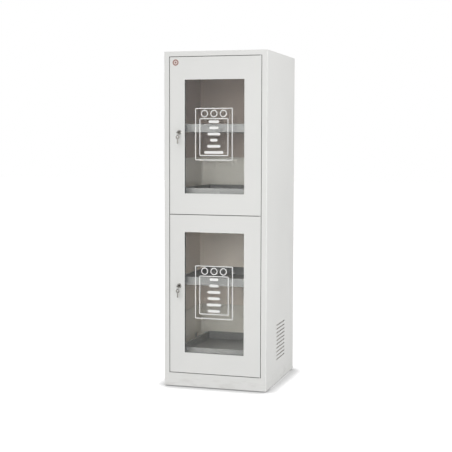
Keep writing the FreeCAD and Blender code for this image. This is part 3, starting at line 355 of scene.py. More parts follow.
def door_coat(level):
    """The coat of one door, rubbed round its own lock."""
    lock = middle(f"{level}_lock_body")

    def build(tree, place):
        near_lock = 1 - distance(tree, place, lock).between(RUBBED_NEAR, RUBBED_FAR)
        touch = near_lock * tree.noise(place, 42, detail=5).between(0.35, 0.75)
        tone = tree.mix(0.55 * wide_cloud(tree, place, 2.6), WHITE, WHITE_SHADE)
        tone = tree.mix(0.12 * touch, tone, DUST)
        # Painted shade on the door's narrow edges, where the gap is.
        tone = tree.mix(axes(tree, place)[1] > front + EDGE_SHADE_FROM, tone, GAP_PAINTED_SHADE)
        return coat_shader(tree, place, tone, COAT_ROUGHNESS - 0.1 * touch)

    return build


door_finish = {level: finish(f"coat_door_{level}", door_coat(level)) for level in DOORS}

# %% [markdown]
# The trays and the two compartment floors are coated in a cooler, middle grey. What is stored there is
# slid over them, and that leaves short bright scratches that run mostly from front to rear. Stretching a
# noise along Y draws it out into such streaks, and a sharp threshold keeps only a few of them.

# %% Trays and floors, with the scratches of use
TRAY_GREY = (0.235, 0.233, 0.226)
TRAY_SHADE = (0.21, 0.208, 0.202)
SCRATCH = (0.36, 0.358, 0.35)
SCRATCH_SLANT = math.radians(24)
LONG_STREAKS = (900, 26, 900)
CROSS_STREAKS = (34, 1100, 1100)


def tray_coat(tree, place):
    long_way = tree.noise(tree.stretched(place, LONG_STREAKS), 1, detail=3, roughness=0.6)
    slanted = tree.add(
        "ShaderNodeVectorRotate", {"Vector": place, "Axis": (0, 0, 1), "Angle": SCRATCH_SLANT}
    )
    cross_way = tree.noise(tree.stretched(slanted, CROSS_STREAKS), 1, detail=3, roughness=0.6)
    lines = long_way.between(0.66, 0.7) + 0.6 * cross_way.between(0.69, 0.72)
    worn = lines * tree.noise(place, 11, detail=3).between(0.45, 0.62)
    tone = tree.mix(0.7 * wide_cloud(tree, place, 4.5), TRAY_GREY, TRAY_SHADE)
    tone = tree.mix(0.4 * worn, tone, SCRATCH)
    return coat_shader(tree, place, tone, 0.34 + 0.1 * worn)


tray_finish = finish("coat_tray", tray_coat)

# %% [markdown]
# The sheet inside each door has the same coat as the door's face. No hand touches it beside the lock,
# so it has the plain cloudy tone alone.

# %% The doors' inner sheets
def pan_coat(tree, place):
    tone = tree.mix(0.6 * wide_cloud(tree, place, 3.3), WHITE, WHITE_SHADE)
    return coat_shader(tree, place, tone, 0.38)


pan_finish = finish("coat_door_inside", pan_coat)

# %% [markdown]
# The frame that clamps each pane is sprayed a satin coat. Its dark grey is painted shade: it stands in
# for the shade in the window's reveal, and its rim shows through the glass as the thin dark line round
# the window. Cloths have polished it a little paler in patches.

# %% The glazing frames, in a dark grey of painted shade
# The frame's dark grey tones are painted shade for the window's reveal.
FRAME_PAINTED_SHADE = (0.075, 0.078, 0.08)
FRAME_PAINTED_SHADE_DEEP = (0.05, 0.052, 0.054)
FRAME_RUBBED = (0.15, 0.152, 0.152)


def frame_shade_coat(tree, place):
    rubbed = tree.noise(place, 55, detail=5, roughness=0.6).between(0.58, 0.72)
    tone = tree.mix(0.7 * wide_cloud(tree, place, 7), FRAME_PAINTED_SHADE, FRAME_PAINTED_SHADE_DEEP)
    tone = tree.mix(0.3 * rubbed, tone, FRAME_RUBBED)
    return coat_shader(tree, place, tone, 0.42 - 0.12 * rubbed, strength=0.2)


frame_shade_finish = finish("coat_glazing_frame_painted_shade", frame_shade_coat)

# %% [markdown]
# ## Liner plastic
# The troughs on the compartment floors are welded from ivory polypropylene sheet. It has a waxy, matt
# surface with a fine hide-like grain from the roller, and grey scuffs where it was handled.

# %% The liners
LINER_PALE = (0.82, 0.785, 0.71)
LINER_SHADE = (0.75, 0.715, 0.64)
LINER_SCUFF = (0.66, 0.64, 0.6)
SCUFF_STREAKS = (30, 30, 240)


def liner_plastic(tree, place):
    cells = tree.add("ShaderNodeTexVoronoi", {"Vector": place, "Scale": 620}, feature="SMOOTH_F1")
    cloud = tree.noise(place, 5, detail=5).between(0.3, 0.7)
    scuff = tree.noise(tree.stretched(place, SCUFF_STREAKS), 1, detail=4).between(0.62, 0.74)
    tone = tree.mix(0.7 * cloud, LINER_PALE, LINER_SHADE)
    tone = tree.mix(0.25 * scuff, tone, LINER_SCUFF)
    values = {
        "Base Color": tone,
        "Roughness": 0.52 + 0.1 * cloud,
        "Normal": tree.bump(cells, 0.2, 0.3 * MM),
        "Specular IOR Level": 0.4,
    }
    return tree.add("ShaderNodeBsdfPrincipled", values)


liner_finish = finish("liner_polypropylene", liner_plastic)

# %% [markdown]
# ## Glass
# Each pane is 4 mm of float glass. It is clear seen flat on and slightly green in its thickness. A
# solid of glass also has to let the lamps through, or the shelves behind it would stay dark, so rays
# that only ask whether a lamp is visible meet a Transparent shader instead. Its index of refraction is
# a little under that of real glass, which calms the mirror images of the white room. A faint haze of
# wiping marks in the roughness keeps the pane from looking like air.

# %% The panes
GLASS_TINT = (0.985, 0.993, 0.988)
GLASS_PASSING = (0.94, 0.95, 0.945)
GLASS_IOR = 1.38
WIPE_STREAKS = (3, 3, 14)


def glass_pane(tree, place):
    wipes = tree.noise(tree.stretched(place, WIPE_STREAKS), 2.2, detail=5, roughness=0.62)
    values = {
        "Base Color": GLASS_TINT,
        "Roughness": 0.035 * wipes.between(0.5, 0.8),
        "IOR": GLASS_IOR,
        "Transmission Weight": 1.0,
    }
    solid = tree.add("ShaderNodeBsdfPrincipled", values)
    open_way = tree.add("ShaderNodeBsdfTransparent", {"Color": GLASS_PASSING})
    for_lamps = tree.add("ShaderNodeLightPath", output="Is Shadow Ray")
    return tree.add("ShaderNodeMixShader", {0: for_lamps, 1: solid, 2: open_way})


glass_finish = finish("float_glass", glass_pane)

# %% [markdown]
# ## Rubber and bearing plastic
# The gaskets and door buffers are black rubber: dull, with a dusty bloom. The hinge blocks are a black
# bearing plastic, which is smoother and shows a little sheen.

# %% Two blacks
RUBBER, RUBBER_BLOOM = (0.016, 0.016, 0.017), (0.05, 0.05, 0.049)
BEARING, BEARING_SHADE = (0.02, 0.02, 0.021), (0.034, 0.034, 0.035)


def rubber_black(tree, place):
    bloom = tree.noise(place, 60, detail=5, roughness=0.6).between(0.4, 0.75)
    values = {
        "Base Color": tree.mix(bloom, RUBBER, RUBBER_BLOOM),
        "Roughness": 0.62 + 0.18 * bloom,
        "Normal": tree.bump(tree.noise(place, 2400), 0.25, 0.1 * MM),
    }
    return tree.add("ShaderNodeBsdfPrincipled", values)


def bearing_black(tree, place):
    cloud = tree.noise(place, 90, detail=3)
    values = {
        "Base Color": tree.mix(cloud, BEARING, BEARING_SHADE),
        "Roughness": 0.3 + 0.12 * cloud,
        "Normal": tree.bump(tree.noise(place, 1800), 0.1, 0.1 * MM),
    }
    return tree.add("ShaderNodeBsdfPrincipled", values)


rubber_finish = finish("rubber_gasket", rubber_black)
bearing_finish = finish("plastic_bearing", bearing_black)

# %% [markdown]
# ## Zinc and nickel
# The runners are rolled from zinc-plated strip. Rolling leaves fine lines along their length, and the
# passivated zinc shifts softly between a bluish and a yellowish grey. Screws, plates and feet have the
# same plating without the lines. Locks and keys are nickel-plated: brighter, warmer, with the hairline
# scratches that a bunch of keys makes on itself. The rosette round the plug is brushed to a satin. The
# plug is dull, and its dark tone is painted shade for its keyway. The key that stays in it is given the
# same dark tone.

# %% Zinc plating
ZINC_BLUISH = (0.56, 0.585, 0.61)
ZINC_YELLOWISH = (0.63, 0.615, 0.57)
ZINC_CRYSTAL = (0.42, 0.43, 0.44)
ROLLED_LINES = (2600, 9, 2600)


def zinc(lined):
    """Zinc plating, with the fine lines of rolled strip or without."""

    def build(tree, place):
        hue = tree.noise(place, 16, detail=3).between(0.35, 0.65)
        crystals = tree.add("ShaderNodeTexVoronoi", {"Vector": place, "Scale": 260}, output="Distance")
        tone = tree.mix(hue, ZINC_BLUISH, ZINC_YELLOWISH)
        tone = tree.mix(0.16 * crystals, tone, ZINC_CRYSTAL)
        if lined:
            height = tree.noise(tree.stretched(place, ROLLED_LINES), 1, detail=3)
        else:
            height = tree.noise(place, 900)
        values = {
            "Base Color": tone,
            "Metallic": 1.0,
            "Roughness": 0.27 + 0.16 * height,
            "Normal": tree.bump(height, 0.12, 0.05 * MM),
        }
        return tree.add("ShaderNodeBsdfPrincipled", values)

    return build


strip_finish = finish("zinc_rolled_strip", zinc(True))
zinc_finish = finish("zinc_plated", zinc(False))

# %% Nickel plating, from bright to a dark tone of painted shade
KEY_HAIRS = (260, 5200, 2600)
NICKELS = {
    "nickel_plated": {"bright": (0.74, 0.72, 0.68), "dull": (0.6, 0.58, 0.54), "rough": 0.13},
    "nickel_satin": {"bright": (0.56, 0.55, 0.52), "dull": (0.42, 0.41, 0.38), "rough": 0.26},
    # The last, dark nickel is painted shade for the lock's plug, and the inserted key shares it.
    "nickel_dark_shaded": {"bright": (0.2, 0.19, 0.17), "dull": (0.11, 0.1, 0.09), "rough": 0.22},
}


def nickel(bright, dull, rough):
    """Nickel plating between a bright tone and a dull one where it was handled."""

    def build(tree, place):
        handled = tree.noise(place, 130, detail=4, roughness=0.6).between(0.4, 0.7)
        hairs = tree.noise(tree.stretched(place, KEY_HAIRS), 1, detail=2)
        values = {
            "Base Color": tree.mix(handled, bright, dull),
            "Metallic": 1.0,
            "Roughness": rough + 0.14 * handled,
            "Normal": tree.bump(hairs, 0.08, 0.04 * MM),
        }
        return tree.add("ShaderNodeBsdfPrincipled", values)

    return build


nickel_finish, satin_finish, dark_shaded_finish = (
    finish(name, nickel(**look)) for name, look in NICKELS.items()
)

# %% [markdown]
# ## Dressing the frame
# Every node of the frame now gets its finish. A rule on the name picks it: the first row whose words are
# part of the node's name holds. So the list stays short, and the last row takes what is left.

# %% Finishes by name
FINISHES = (
    ("upper_door_skin", door_finish["upper"]),
    ("lower_door_skin", door_finish["lower"]),
    ("door_inner_pan", pan_finish),
    ("door_glazing_frame", frame_shade_finish),
    ("door_glass", glass_finish),
    ("door_gasket", rubber_finish),
    ("door_buffers", rubber_finish),
    ("hinge_blocks", bearing_finish),
    ("sump_liner", liner_finish),
    ("_tray", tray_finish),
    ("base_panel", tray_finish),
    ("divider_panel", tray_finish),
    ("runner_", strip_finish),
    ("lock_nut", zinc_finish),
    ("lock_cam", zinc_finish),
    # The plug's dark tone is painted shade for its keyway.
    ("lock_plug", dark_shaded_finish),
    ("lock_", satin_finish),
    ("spare_key", nickel_finish),
    # The key in the lock is given the same dark tone.
    ("_key", dark_shaded_finish),
    ("side_panel", casing_finish),
    ("top_panel", casing_finish),
    ("back_panel", casing_finish),
    ("front_plinth", casing_finish),
    ("", zinc_finish),
)

for name, node in frame["nodes"].items():
    node.data.materials.clear()
    node.data.materials.append(next(material for words, material in FINISHES if words in name))
print("dressed", len(frame["nodes"]), "nodes")

# %% [markdown]
# ## Growing small parts with Geometry Nodes
# Screws and rivets repeat by the dozen. A Geometry Nodes tree draws one of them from named sizes, sets
# it out along a line or round a frame, and turns the copies into real mesh. The result is then kept as
# a plain mesh, so that the piece no longer depends on its tree.

# %% A geometry tree with named inputs
SOCKETS = {float: "NodeSocketFloat", int: "NodeSocketInt", Vector: "NodeSocketVector"}


class Grower(Tree):
    """A Geometry Nodes tree. Its sizes are named inputs, each with a default value."""

    def __init__(self, name, sizes):
        super().__init__(bpy.data.node_groups.new(name, "GeometryNodeTree"))
        face = self.group.interface
        face.new_socket("Geometry", in_out="OUTPUT", socket_type="NodeSocketGeometry")
        self.ids = {}
        for label, value in sizes.items():
            socket = face.new_socket(label, in_out="INPUT", socket_type=SOCKETS[type(value)])
            socket.default_value = value
            self.ids[label] = socket.identifier
        self.source = self.group.nodes.new("NodeGroupInput")

    def size(self, label):
        """The Wire of one named input."""
        return Wire(self, self.find(self.source.outputs, label))

    def point(self, x=0, y=0, z=0):
        return self.add("ShaderNodeCombineXYZ", [x, y, z])

    def moved(self, mesh, by):
        return self.add("GeometryNodeTransform", {"Geometry": mesh, "Translation": by})

    def joined(self, *meshes):
        """Several meshes as one. The node's socket takes them from last to first."""
        node = self.group.nodes.new("GeometryNodeJoinGeometry")
        for mesh in reversed(meshes):
            self.group.links.new(mesh.socket, node.inputs[0])
        return Wire(self, node.outputs[0])

    def close(self, mesh, material):
        """Ends the tree: real copies, and their material."""
        real = self.add("GeometryNodeRealizeInstances", {"Geometry": mesh})
        dressed = self.add("GeometryNodeSetMaterial", {"Geometry": real, "Material": material})
        self.add("NodeGroupOutput", {"Geometry": dressed})
        return self


CREASE = math.radians(35)


def grow(name, tree, sizes, body):
    """Runs a tree on an empty mesh, keeps what it made as a plain mesh and sets it on its body."""
    piece = bpy.data.objects.new(name, bpy.data.meshes.new(name))
    bpy.context.scene.collection.objects.link(piece)
    modifier = piece.modifiers.new("grow", "NODES")
    modifier.node_group = tree.group
    for label, value in sizes.items():
        modifier[tree.ids[label]] = value
    graph = bpy.context.evaluated_depsgraph_get()
    mesh = bpy.data.meshes.new_from_object(piece.evaluated_get(graph))
    mesh.shade_smooth()
    mesh.set_sharp_from_angle(angle=CREASE)
    piece.modifiers.clear()
    piece.data = mesh
    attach(piece, body)
    print(f"{name}: {len(mesh.polygons)} faces")
    return piece


# %% [markdown]
# ### A screw head
# The head starts as a short cylinder with rings along its side. A formula draws the rings in towards
# the top, which makes the dome of a pan head, and two crossed blocks are cut out of it for the driver.
# A lathe profile would give the same dome, but here it follows the head's own radius and height. The
# blocks' length, width and lift are shares of them too. The cut uses the manifold solver, because the
# quicker one tears meshes that are only a few millimetres wide.

# %% Pan head with a cross recess
HEAD_SIDES = 20
HEAD_RINGS = 4
ARM_LONG, ARM_WIDE, ARM_LIFT = 1.05, 0.26, 0.95


def domed_cylinder(tree, radius, height, sides, rings, taper, power):
    """A short cylinder on its own origin, drawn in towards its top at +Z."""
    cylinder = tree.add(
        "GeometryNodeMeshCylinder",
        {"Vertices": sides, "Side Segments": rings, "Radius": radius, "Depth": height},
    )
    x, y, z = axes(tree, tree.add("GeometryNodeInputPosition"))
    narrow = 1 - taper * (z / height + 0.5) ** power
    return tree.add(
        "GeometryNodeSetPosition",
        {"Geometry": cylinder, "Position": tree.point(x * narrow, y * narrow, z + height / 2)},
    )


def pan_head(tree, radius, height):
    """A domed head with a cross recess that stands on its own origin and points along +Z."""
    domed = domed_cylinder(tree, radius, height, HEAD_SIDES, HEAD_RINGS, taper=0.45, power=3)
    long_side, short_side = radius * ARM_LONG, radius * ARM_WIDE
    arms = [
        tree.moved(
            tree.add("GeometryNodeMeshCube", {"Size": tree.point(across, along, height)}),
            tree.point(0, 0, height * ARM_LIFT),
        )
        for across, along in ((long_side, short_side), (short_side, long_side))
    ]
    cut = tree.group.nodes.new("GeometryNodeMeshBoolean")
    cut.operation = "DIFFERENCE"
    cut.solver = "MANIFOLD"
    tree.group.links.new(domed.socket, cut.inputs["Mesh 1"])
    for arm in arms:
        tree.group.links.new(arm.socket, cut.inputs["Mesh 2"])
    return Wire(tree, cut.outputs["Mesh"])


# %% [markdown]
# ### Screws round a window
# The glazing frame is screwed to the inner door sheet from behind. The tree lays a rectangle, divides
# each side evenly and puts a head on every dividing point, but not on the four corners. The rectangle
# runs half way between the gasket and the frame's outer edge.

# %% The glazing screws
FACING_REAR = Euler((-math.pi / 2, 0, 0))


def window_screws():
    tree = Grower(
        "window_screws",
        {
            "Centre": Vector((0, 0, 0)), "Width": 0.4, "Height": 0.7, "Screws a side": 4,
            "Head radius": 3.2 * MM, "Head height": 2 * MM,
        },
    )
    count = tree.size("Screws a side")
    line = tree.add(
        "GeometryNodeCurvePrimitiveQuadrilateral",
        {"Width": tree.size("Width"), "Height": tree.size("Height")},
    )
    divided = tree.add("GeometryNodeSubdivideCurve", {"Curve": line, "Cuts": count})
    points = tree.add("GeometryNodeCurveToPoints", {"Curve": divided}, mode="EVALUATED")
    index = tree.add("GeometryNodeInputIndex")
    on_side = index.math("MODULO", count + 1) > 0.5
    head = pan_head(tree, tree.size("Head radius"), tree.size("Head height"))
    heads = tree.add(
        "GeometryNodeInstanceOnPoints", {"Points": points, "Selection": on_side, "Instance": head}
    )
    upright = tree.add(
        "GeometryNodeTransform",
        {"Geometry": heads, "Rotation": FACING_REAR, "Translation": tree.size("Centre")},
    )
    return tree.close(upright, zinc_finish)


window_screw_tree = window_screws()
for level in DOORS:
    low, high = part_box(f"{level}_door_gasket")
    outer_low, outer_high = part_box(f"{level}_door_glazing_frame")
    size = (high - low + outer_high - outer_low) / 2
    centre = Vector(((low.x + high.x) / 2, outer_high.y, (low.z + high.z) / 2))
    grow(
        f"{level}_glazing_screws", window_screw_tree,
        {"Centre": centre, "Width": size.x, "Height": size.z},
        f"{level}_door",
    )

# %% [markdown]
# ### Screws of the back sheet
# The back sheet is held by two columns of screws. The frame has them with plain heads, so the same pan
# head is set out on two upright lines in their place, each head turned at random as a hand leaves it.

# %% The back screws
BACK_ROWS = 7
BACK_HEAD_RADIUS = 4 * MM
SPIN_SEED = 11


def back_screws():
    tree = Grower(
        "back_screws",
        {
            "First": Vector((0, 0, 0)), "Across": 0.58, "Pitch": 0.3, "Rows": BACK_ROWS,
            "Head radius": BACK_HEAD_RADIUS, "Head height": 2.4 * MM,
        },
    )
    head = pan_head(tree, tree.size("Head radius"), tree.size("Head height"))
    rows = tree.add(
        "GeometryNodeMeshLine",
        {"Count": tree.size("Rows"), "Start Location": tree.size("First"),
         "Offset": tree.point(0, 0, tree.size("Pitch"))},
    )
    columns = tree.joined(rows, tree.moved(rows, tree.point(tree.size("Across"), 0, 0)))
    spin = tree.add(
        "FunctionNodeRandomValue",
        {"Min": 0.0, "Max": math.pi / 2, "Seed": SPIN_SEED}, data_type="FLOAT",
    )
    heads = tree.add(
        "GeometryNodeInstanceOnPoints",
        {"Points": columns, "Instance": head, "Rotation": tree.point(-math.pi / 2, spin, 0)},
    )
    return tree.close(heads, zinc_finish)


low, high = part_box("back_screws")
head_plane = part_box("back_panel")[1].y
back_heads = grow(
    "back_screw_heads", back_screws(),
    {
        "First": Vector((low.x + BACK_HEAD_RADIUS, head_plane, low.z + BACK_HEAD_RADIUS)),
        "Across": high.x - low.x - 2 * BACK_HEAD_RADIUS,
        "Pitch": (high.z - low.z - 2 * BACK_HEAD_RADIUS) / (BACK_ROWS - 1),
    },
    "casing",
)
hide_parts("back_screws")

# %% [markdown]
# ### Rivets along the trays
# Each tray hangs on its two inner runner members by flat rivets. The tree sets a row of them along the
# left wall and mirrors it to the right one. A mirrored mesh is inside out, so its faces are flipped.

# %% The tray rivets
RIVETS_A_SIDE = 5
RIVET_SIDES = 16
RIVET_RINGS = 3
RIVET_INSET = 0.06
TRAY_SHEET = 1.2 * MM
FACING_RIGHT = Euler((0, math.pi / 2, 0))


def tray_rivets():
    tree = Grower(
        "tray_rivets",
        {
            "First": Vector((0, 0, 0)), "Pitch": 0.11, "Count": RIVETS_A_SIDE,
            "Head radius": 4 * MM, "Head height": 1.1 * MM,
        },
    )
    radius, height = tree.size("Head radius"), tree.size("Head height")
    rivet = domed_cylinder(tree, radius, height, RIVET_SIDES, RIVET_RINGS, taper=0.35, power=2)
    facing = tree.add("GeometryNodeTransform", {"Geometry": rivet, "Rotation": FACING_RIGHT})
    line = tree.add(
        "GeometryNodeMeshLine",
        {"Count": tree.size("Count"), "Start Location": tree.size("First"),
         "Offset": tree.point(0, tree.size("Pitch"), 0)},
    )
    left = tree.add("GeometryNodeInstanceOnPoints", {"Points": line, "Instance": facing})
    left = tree.add("GeometryNodeRealizeInstances", {"Geometry": left})
    right = tree.add("GeometryNodeTransform", {"Geometry": left, "Scale": (-1, 1, 1)})
    right = tree.add("GeometryNodeFlipFaces", {"Mesh": right})
    return tree.close(tree.joined(left, right), zinc_finish)


rivet_tree = tray_rivets()
for name in TRAYS:
    low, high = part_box(f"{name}_tray")
    first = Vector((low.x + TRAY_SHEET, low.y + RIVET_INSET, (low.z + high.z) / 2))
    pitch = (high.y - low.y - 2 * RIVET_INSET) / (RIVETS_A_SIDE - 1)
    grow(f"{name}_rivets", rivet_tree, {"First": first, "Pitch": pitch}, f"{name}_tray")

# %% [markdown]
# ## The print on the panes
# Each pane carries a plain white screen print: a frame within a frame, three rings over the inner one
# and six bars with rounded ends in it. Enamel ink lies on the glass as a thin film, so it gets real
# thickness, and a tree draws all frames and rings from curves with a flat rectangular section.

# %% White enamel ink
INK_WHITE = (0.9, 0.9, 0.885)
INK_SHADE = (0.82, 0.82, 0.805)
INK = 0.12 * MM


def enamel(tree, place):
    film = tree.noise(place, 700, detail=3)
    values = {
        "Base Color": tree.mix(film, INK_WHITE, INK_SHADE),
        "Roughness": 0.38 + 0.12 * film,
        "Normal": tree.bump(film, 0.1, 0.05 * MM),
    }
    return tree.add("ShaderNodeBsdfPrincipled", values)


enamel_finish = finish("enamel_ink", enamel)

# %% Frames and rings from curves
RINGS = 3
RING_SIDES = 40
CORNER_STEPS = 5
FACING_FRONT = Euler((math.pi / 2, 0, 0))


def ink_frames():
    tree = Grower(
        "ink_frames",
        {
            "Centre": Vector((0, 0, 0)), "Width": 0.22, "Height": 0.29, "Corner": 4 * MM,
            "Inner width": 0.17, "Inner height": 0.2, "Inner drop": 0.03, "Line": 5 * MM,
            "Ring radius": 0.018, "Ring pitch": 0.055, "Ring rise": 0.1,
        },
    )
    section = tree.add(
        "GeometryNodeCurvePrimitiveQuadrilateral", {"Width": tree.size("Line"), "Height": INK}
    )

    def drawn(curve):
        return tree.add(
            "GeometryNodeCurveToMesh", {"Curve": curve, "Profile Curve": section, "Fill Caps": True}
        )

    def rounded_frame(width, height):
        sharp = tree.add("GeometryNodeCurvePrimitiveQuadrilateral", {"Width": width, "Height": height})
        return tree.add(
            "GeometryNodeFilletCurve",
            {"Curve": sharp, "Radius": tree.size("Corner"), "Count": CORNER_STEPS}, mode="POLY",
        )

    outer = drawn(rounded_frame(tree.size("Width"), tree.size("Height")))
    inner = drawn(rounded_frame(tree.size("Inner width"), tree.size("Inner height")))
    inner = tree.moved(inner, tree.point(0, tree.size("Inner drop") * -1, 0))
    circle = tree.add(
        "GeometryNodeCurvePrimitiveCircle",
        {"Resolution": RING_SIDES, "Radius": tree.size("Ring radius")},
    )
    spots = tree.add(
        "GeometryNodeMeshLine",
        {
            "Count": RINGS,
            "Start Location": tree.point(tree.size("Ring pitch") * -1, tree.size("Ring rise"), 0),
            "Offset": tree.point(tree.size("Ring pitch"), 0, 0),
        },
    )
    rings = tree.add("GeometryNodeInstanceOnPoints", {"Points": spots, "Instance": drawn(circle)})
    upright = tree.add(
        "GeometryNodeTransform",
        {
            "Geometry": tree.joined(outer, inner, rings),
            "Rotation": FACING_FRONT,
            "Translation": tree.size("Centre"),
        },
    )
    return tree.close(upright, enamel_finish)


ink_tree = ink_frames()

# %% [markdown]
# The layout is measured in millimetres from the cabinet's middle and the floor. Each bar has a length of
# its own, and all of them stand centred under the rings.

# %% The measured layout, in millimetres
PRINTS = {
    "upper": {
        "left": -114, "right": 100, "low": 1294, "high": 1581, "rows": (62, 55, 75, 44, 78, 112),
    },
    "lower": {
        "left": -114, "right": 104, "low": 400, "high": 697, "rows": (52, 55, 76, 70, 84, 72),
    },
}
INNER_SIDE_GAP = 25
INNER_LOW_GAP = 25
INNER_HIGH_GAP = 57
ROW_HEIGHT = 15
ROW_ENDS = 8
print("bars on each pane", {level: len(spot["rows"]) for level, spot in PRINTS.items()})

# %% Bars as flat slabs
def bar_outline(centre_x, centre_z, length, height):
    """A bar with round ends, as points in the pane's plane."""
    points = []
    reach = (length - height) / 2
    for side, start in ((1, -math.pi / 2), (-1, math.pi / 2)):
        for step in range(ROW_ENDS + 1):
            turn = start + math.pi * step / ROW_ENDS
            points.append((centre_x + side * reach + height / 2 * math.cos(turn),
                           centre_z + height / 2 * math.sin(turn)))
    return points


def bridge(shape, near, far):
    """Faces between two closed loops of the same number of points."""
    for index in range(len(near)):
        after = (index + 1) % len(near)
        shape.faces.new((near[after], near[index], far[index], far[after]))


def plain_piece(name, shape, material):
    """Turns a closed shape's faces outwards and makes it a piece with one material."""
    bmesh.ops.recalc_face_normals(shape, faces=shape.faces)
    mesh = bpy.data.meshes.new(name)
    shape.to_mesh(mesh)
    shape.free()
    mesh.materials.append(material)
    piece = bpy.data.objects.new(name, mesh)
    bpy.context.scene.collection.objects.link(piece)
    print(f"{name}: {len(mesh.polygons)} faces")
    return piece


def slab(name, outlines, y_front, y_back, material):
    """A flat piece with given outlines in X and Z, as thick as from y_front to y_back."""
    shape = bmesh.new()
    for outline in outlines:
        near = [shape.verts.new((x, y_front, z)) for x, z in outline]
        far = [shape.verts.new((x, y_back, z)) for x, z in outline]
        shape.faces.new(near)
        shape.faces.new(list(reversed(far)))
        bridge(shape, near, far)
    return plain_piece(name, shape, material)


# %% The print of both doors
for level, spot in PRINTS.items():
    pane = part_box(f"{level}_door_glass")[0].y
    width, height = spot["right"] - spot["left"], spot["high"] - spot["low"]
    centre_x, centre_z = (spot["right"] + spot["left"]) / 2, (spot["high"] + spot["low"]) / 2
    inner_width = width - 2 * INNER_SIDE_GAP
    inner_height = height - INNER_LOW_GAP - INNER_HIGH_GAP
    inner_drop = (INNER_HIGH_GAP - INNER_LOW_GAP) / 2
    grow(
        f"{level}_print_frames", ink_tree,
        {
            "Centre": Vector((centre_x * MM, pane - INK / 2, centre_z * MM)),
            "Width": width * MM, "Height": height * MM,
            "Inner width": inner_width * MM, "Inner height": inner_height * MM,
            "Inner drop": inner_drop * MM,
            "Ring rise": (height / 2 - INNER_HIGH_GAP / 2) * MM,
        },
        f"{level}_door",
    )
    inner_top = spot["high"] - INNER_HIGH_GAP
    pitch = inner_height / len(spot["rows"])
    bars = []
    for row, length in enumerate(spot["rows"]):
        outline = bar_outline(centre_x, inner_top - pitch * (row + 0.5), length, ROW_HEIGHT)
        bars.append([(x * MM, z * MM) for x, z in outline])
    rows = slab(f"{level}_print_rows", bars, pane - INK, pane, enamel_finish)
    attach(rows, f"{level}_door")

# %% [markdown]
# ## The round mark
# A small disc is stuck to the top left corner of the upper door. It is a turned profile: a flat face
# with a rounded rim. Its ring and dot are painted by distance from the disc's own centre. Its place and
# its sizes were measured in millimetres, as the print's were.

# %% The paint of the disc
MARK_X, MARK_Z = -232, 1838
MARK_RADIUS = 19
MARK_RING = 11.2 * MM, 16.4 * MM
MARK_DOT = 4.6 * MM
PAINT_FADE = 0.6 * MM
MARK_GROUND, MARK_GROUND_SHADE = (0.74, 0.66, 0.62), (0.68, 0.58, 0.54)
MARK_RED, MARK_RED_SHADE = (0.25, 0.115, 0.1), (0.31, 0.15, 0.13)


def mark_paint(tree, place):
    reach = distance(tree, place, (MARK_X * MM, front, MARK_Z * MM))
    inner, outer = MARK_RING
    within = reach.between(inner, inner + PAINT_FADE)
    ring = within * (1 - reach.between(outer, outer + PAINT_FADE))
    dot = 1 - reach.between(MARK_DOT, MARK_DOT + PAINT_FADE)
    speckle = tree.noise(place, 800, detail=3)
    ground = tree.mix(speckle, MARK_GROUND, MARK_GROUND_SHADE)
    paint = tree.mix(speckle, MARK_RED, MARK_RED_SHADE)
    values = {
        "Base Color": tree.mix(ring.math("MAXIMUM", dot), ground, paint),
        "Roughness": 0.3 + 0.15 * speckle,
        "Normal": tree.bump(speckle, 0.08, 0.05 * MM),
    }
    return tree.add("ShaderNodeBsdfPrincipled", values)


# %% The disc at the top of the upper door
MARK_THICK = 0.5
MARK_SIDES = 64
MARK_RIM = (0, 0), (0, -0.4), (0.08, -0.75), (0.3, -1)


def turned_disc(name, x, z, radius, thickness, material):
    """A disc on the door's face. Each row of MARK_RIM is an inset and a share of the thickness."""
    shape = bmesh.new()
    rings = []
    for inset, share in MARK_RIM:
        ring = []
        for step in range(MARK_SIDES):
            turn = 2 * math.pi * step / MARK_SIDES
            across, up = (radius - inset) * math.cos(turn), (radius - inset) * math.sin(turn)
            spot = Vector((x + across, 0, z + up)) * MM
            spot.y = front + share * thickness * MM
            ring.append(shape.verts.new(spot))
        rings.append(ring)
    for near, far in zip(rings, rings[1:]):
        bridge(shape, near, far)
    shape.faces.new(rings[-1])
    shape.faces.new(list(reversed(rings[0])))
    return plain_piece(name, shape, material)


mark_finish = finish("mark", mark_paint)
mark = turned_disc("round_mark", MARK_X, MARK_Z, MARK_RADIUS, MARK_THICK, mark_finish)
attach(mark, "upper_door")

# %% [markdown]
# ## The studio
# A product shot on white: the floor is a wide pale sheet and the surroundings are white. A distant lamp
# shines from high in front and a little from the left, a large soft one stands before the cabinet and
# another at its right. A third, behind and to the left, only matters when the cabinet is seen from the
# rear. The front lamp has no mirror image, as with a polarising filter, so the panes stay clear from the
# front. To the camera the floor glows, also where it is seen through a pane, so that it runs into the
# white background. The glow fades where something stands close over the floor, which leaves the soft
# line of contact shade.

# %% Floor
FLOOR_SIZE = 60
FLOOR_TONE = (0.45, 0.45, 0.45)
FLOOR_GLOW = 0.85
FLOOR_SHADE = (0.2, 0.2, 0.2)
CONTACT_REACH = 0.09
CONTACT_FALL = 4
CONTACT_SAMPLES = 12


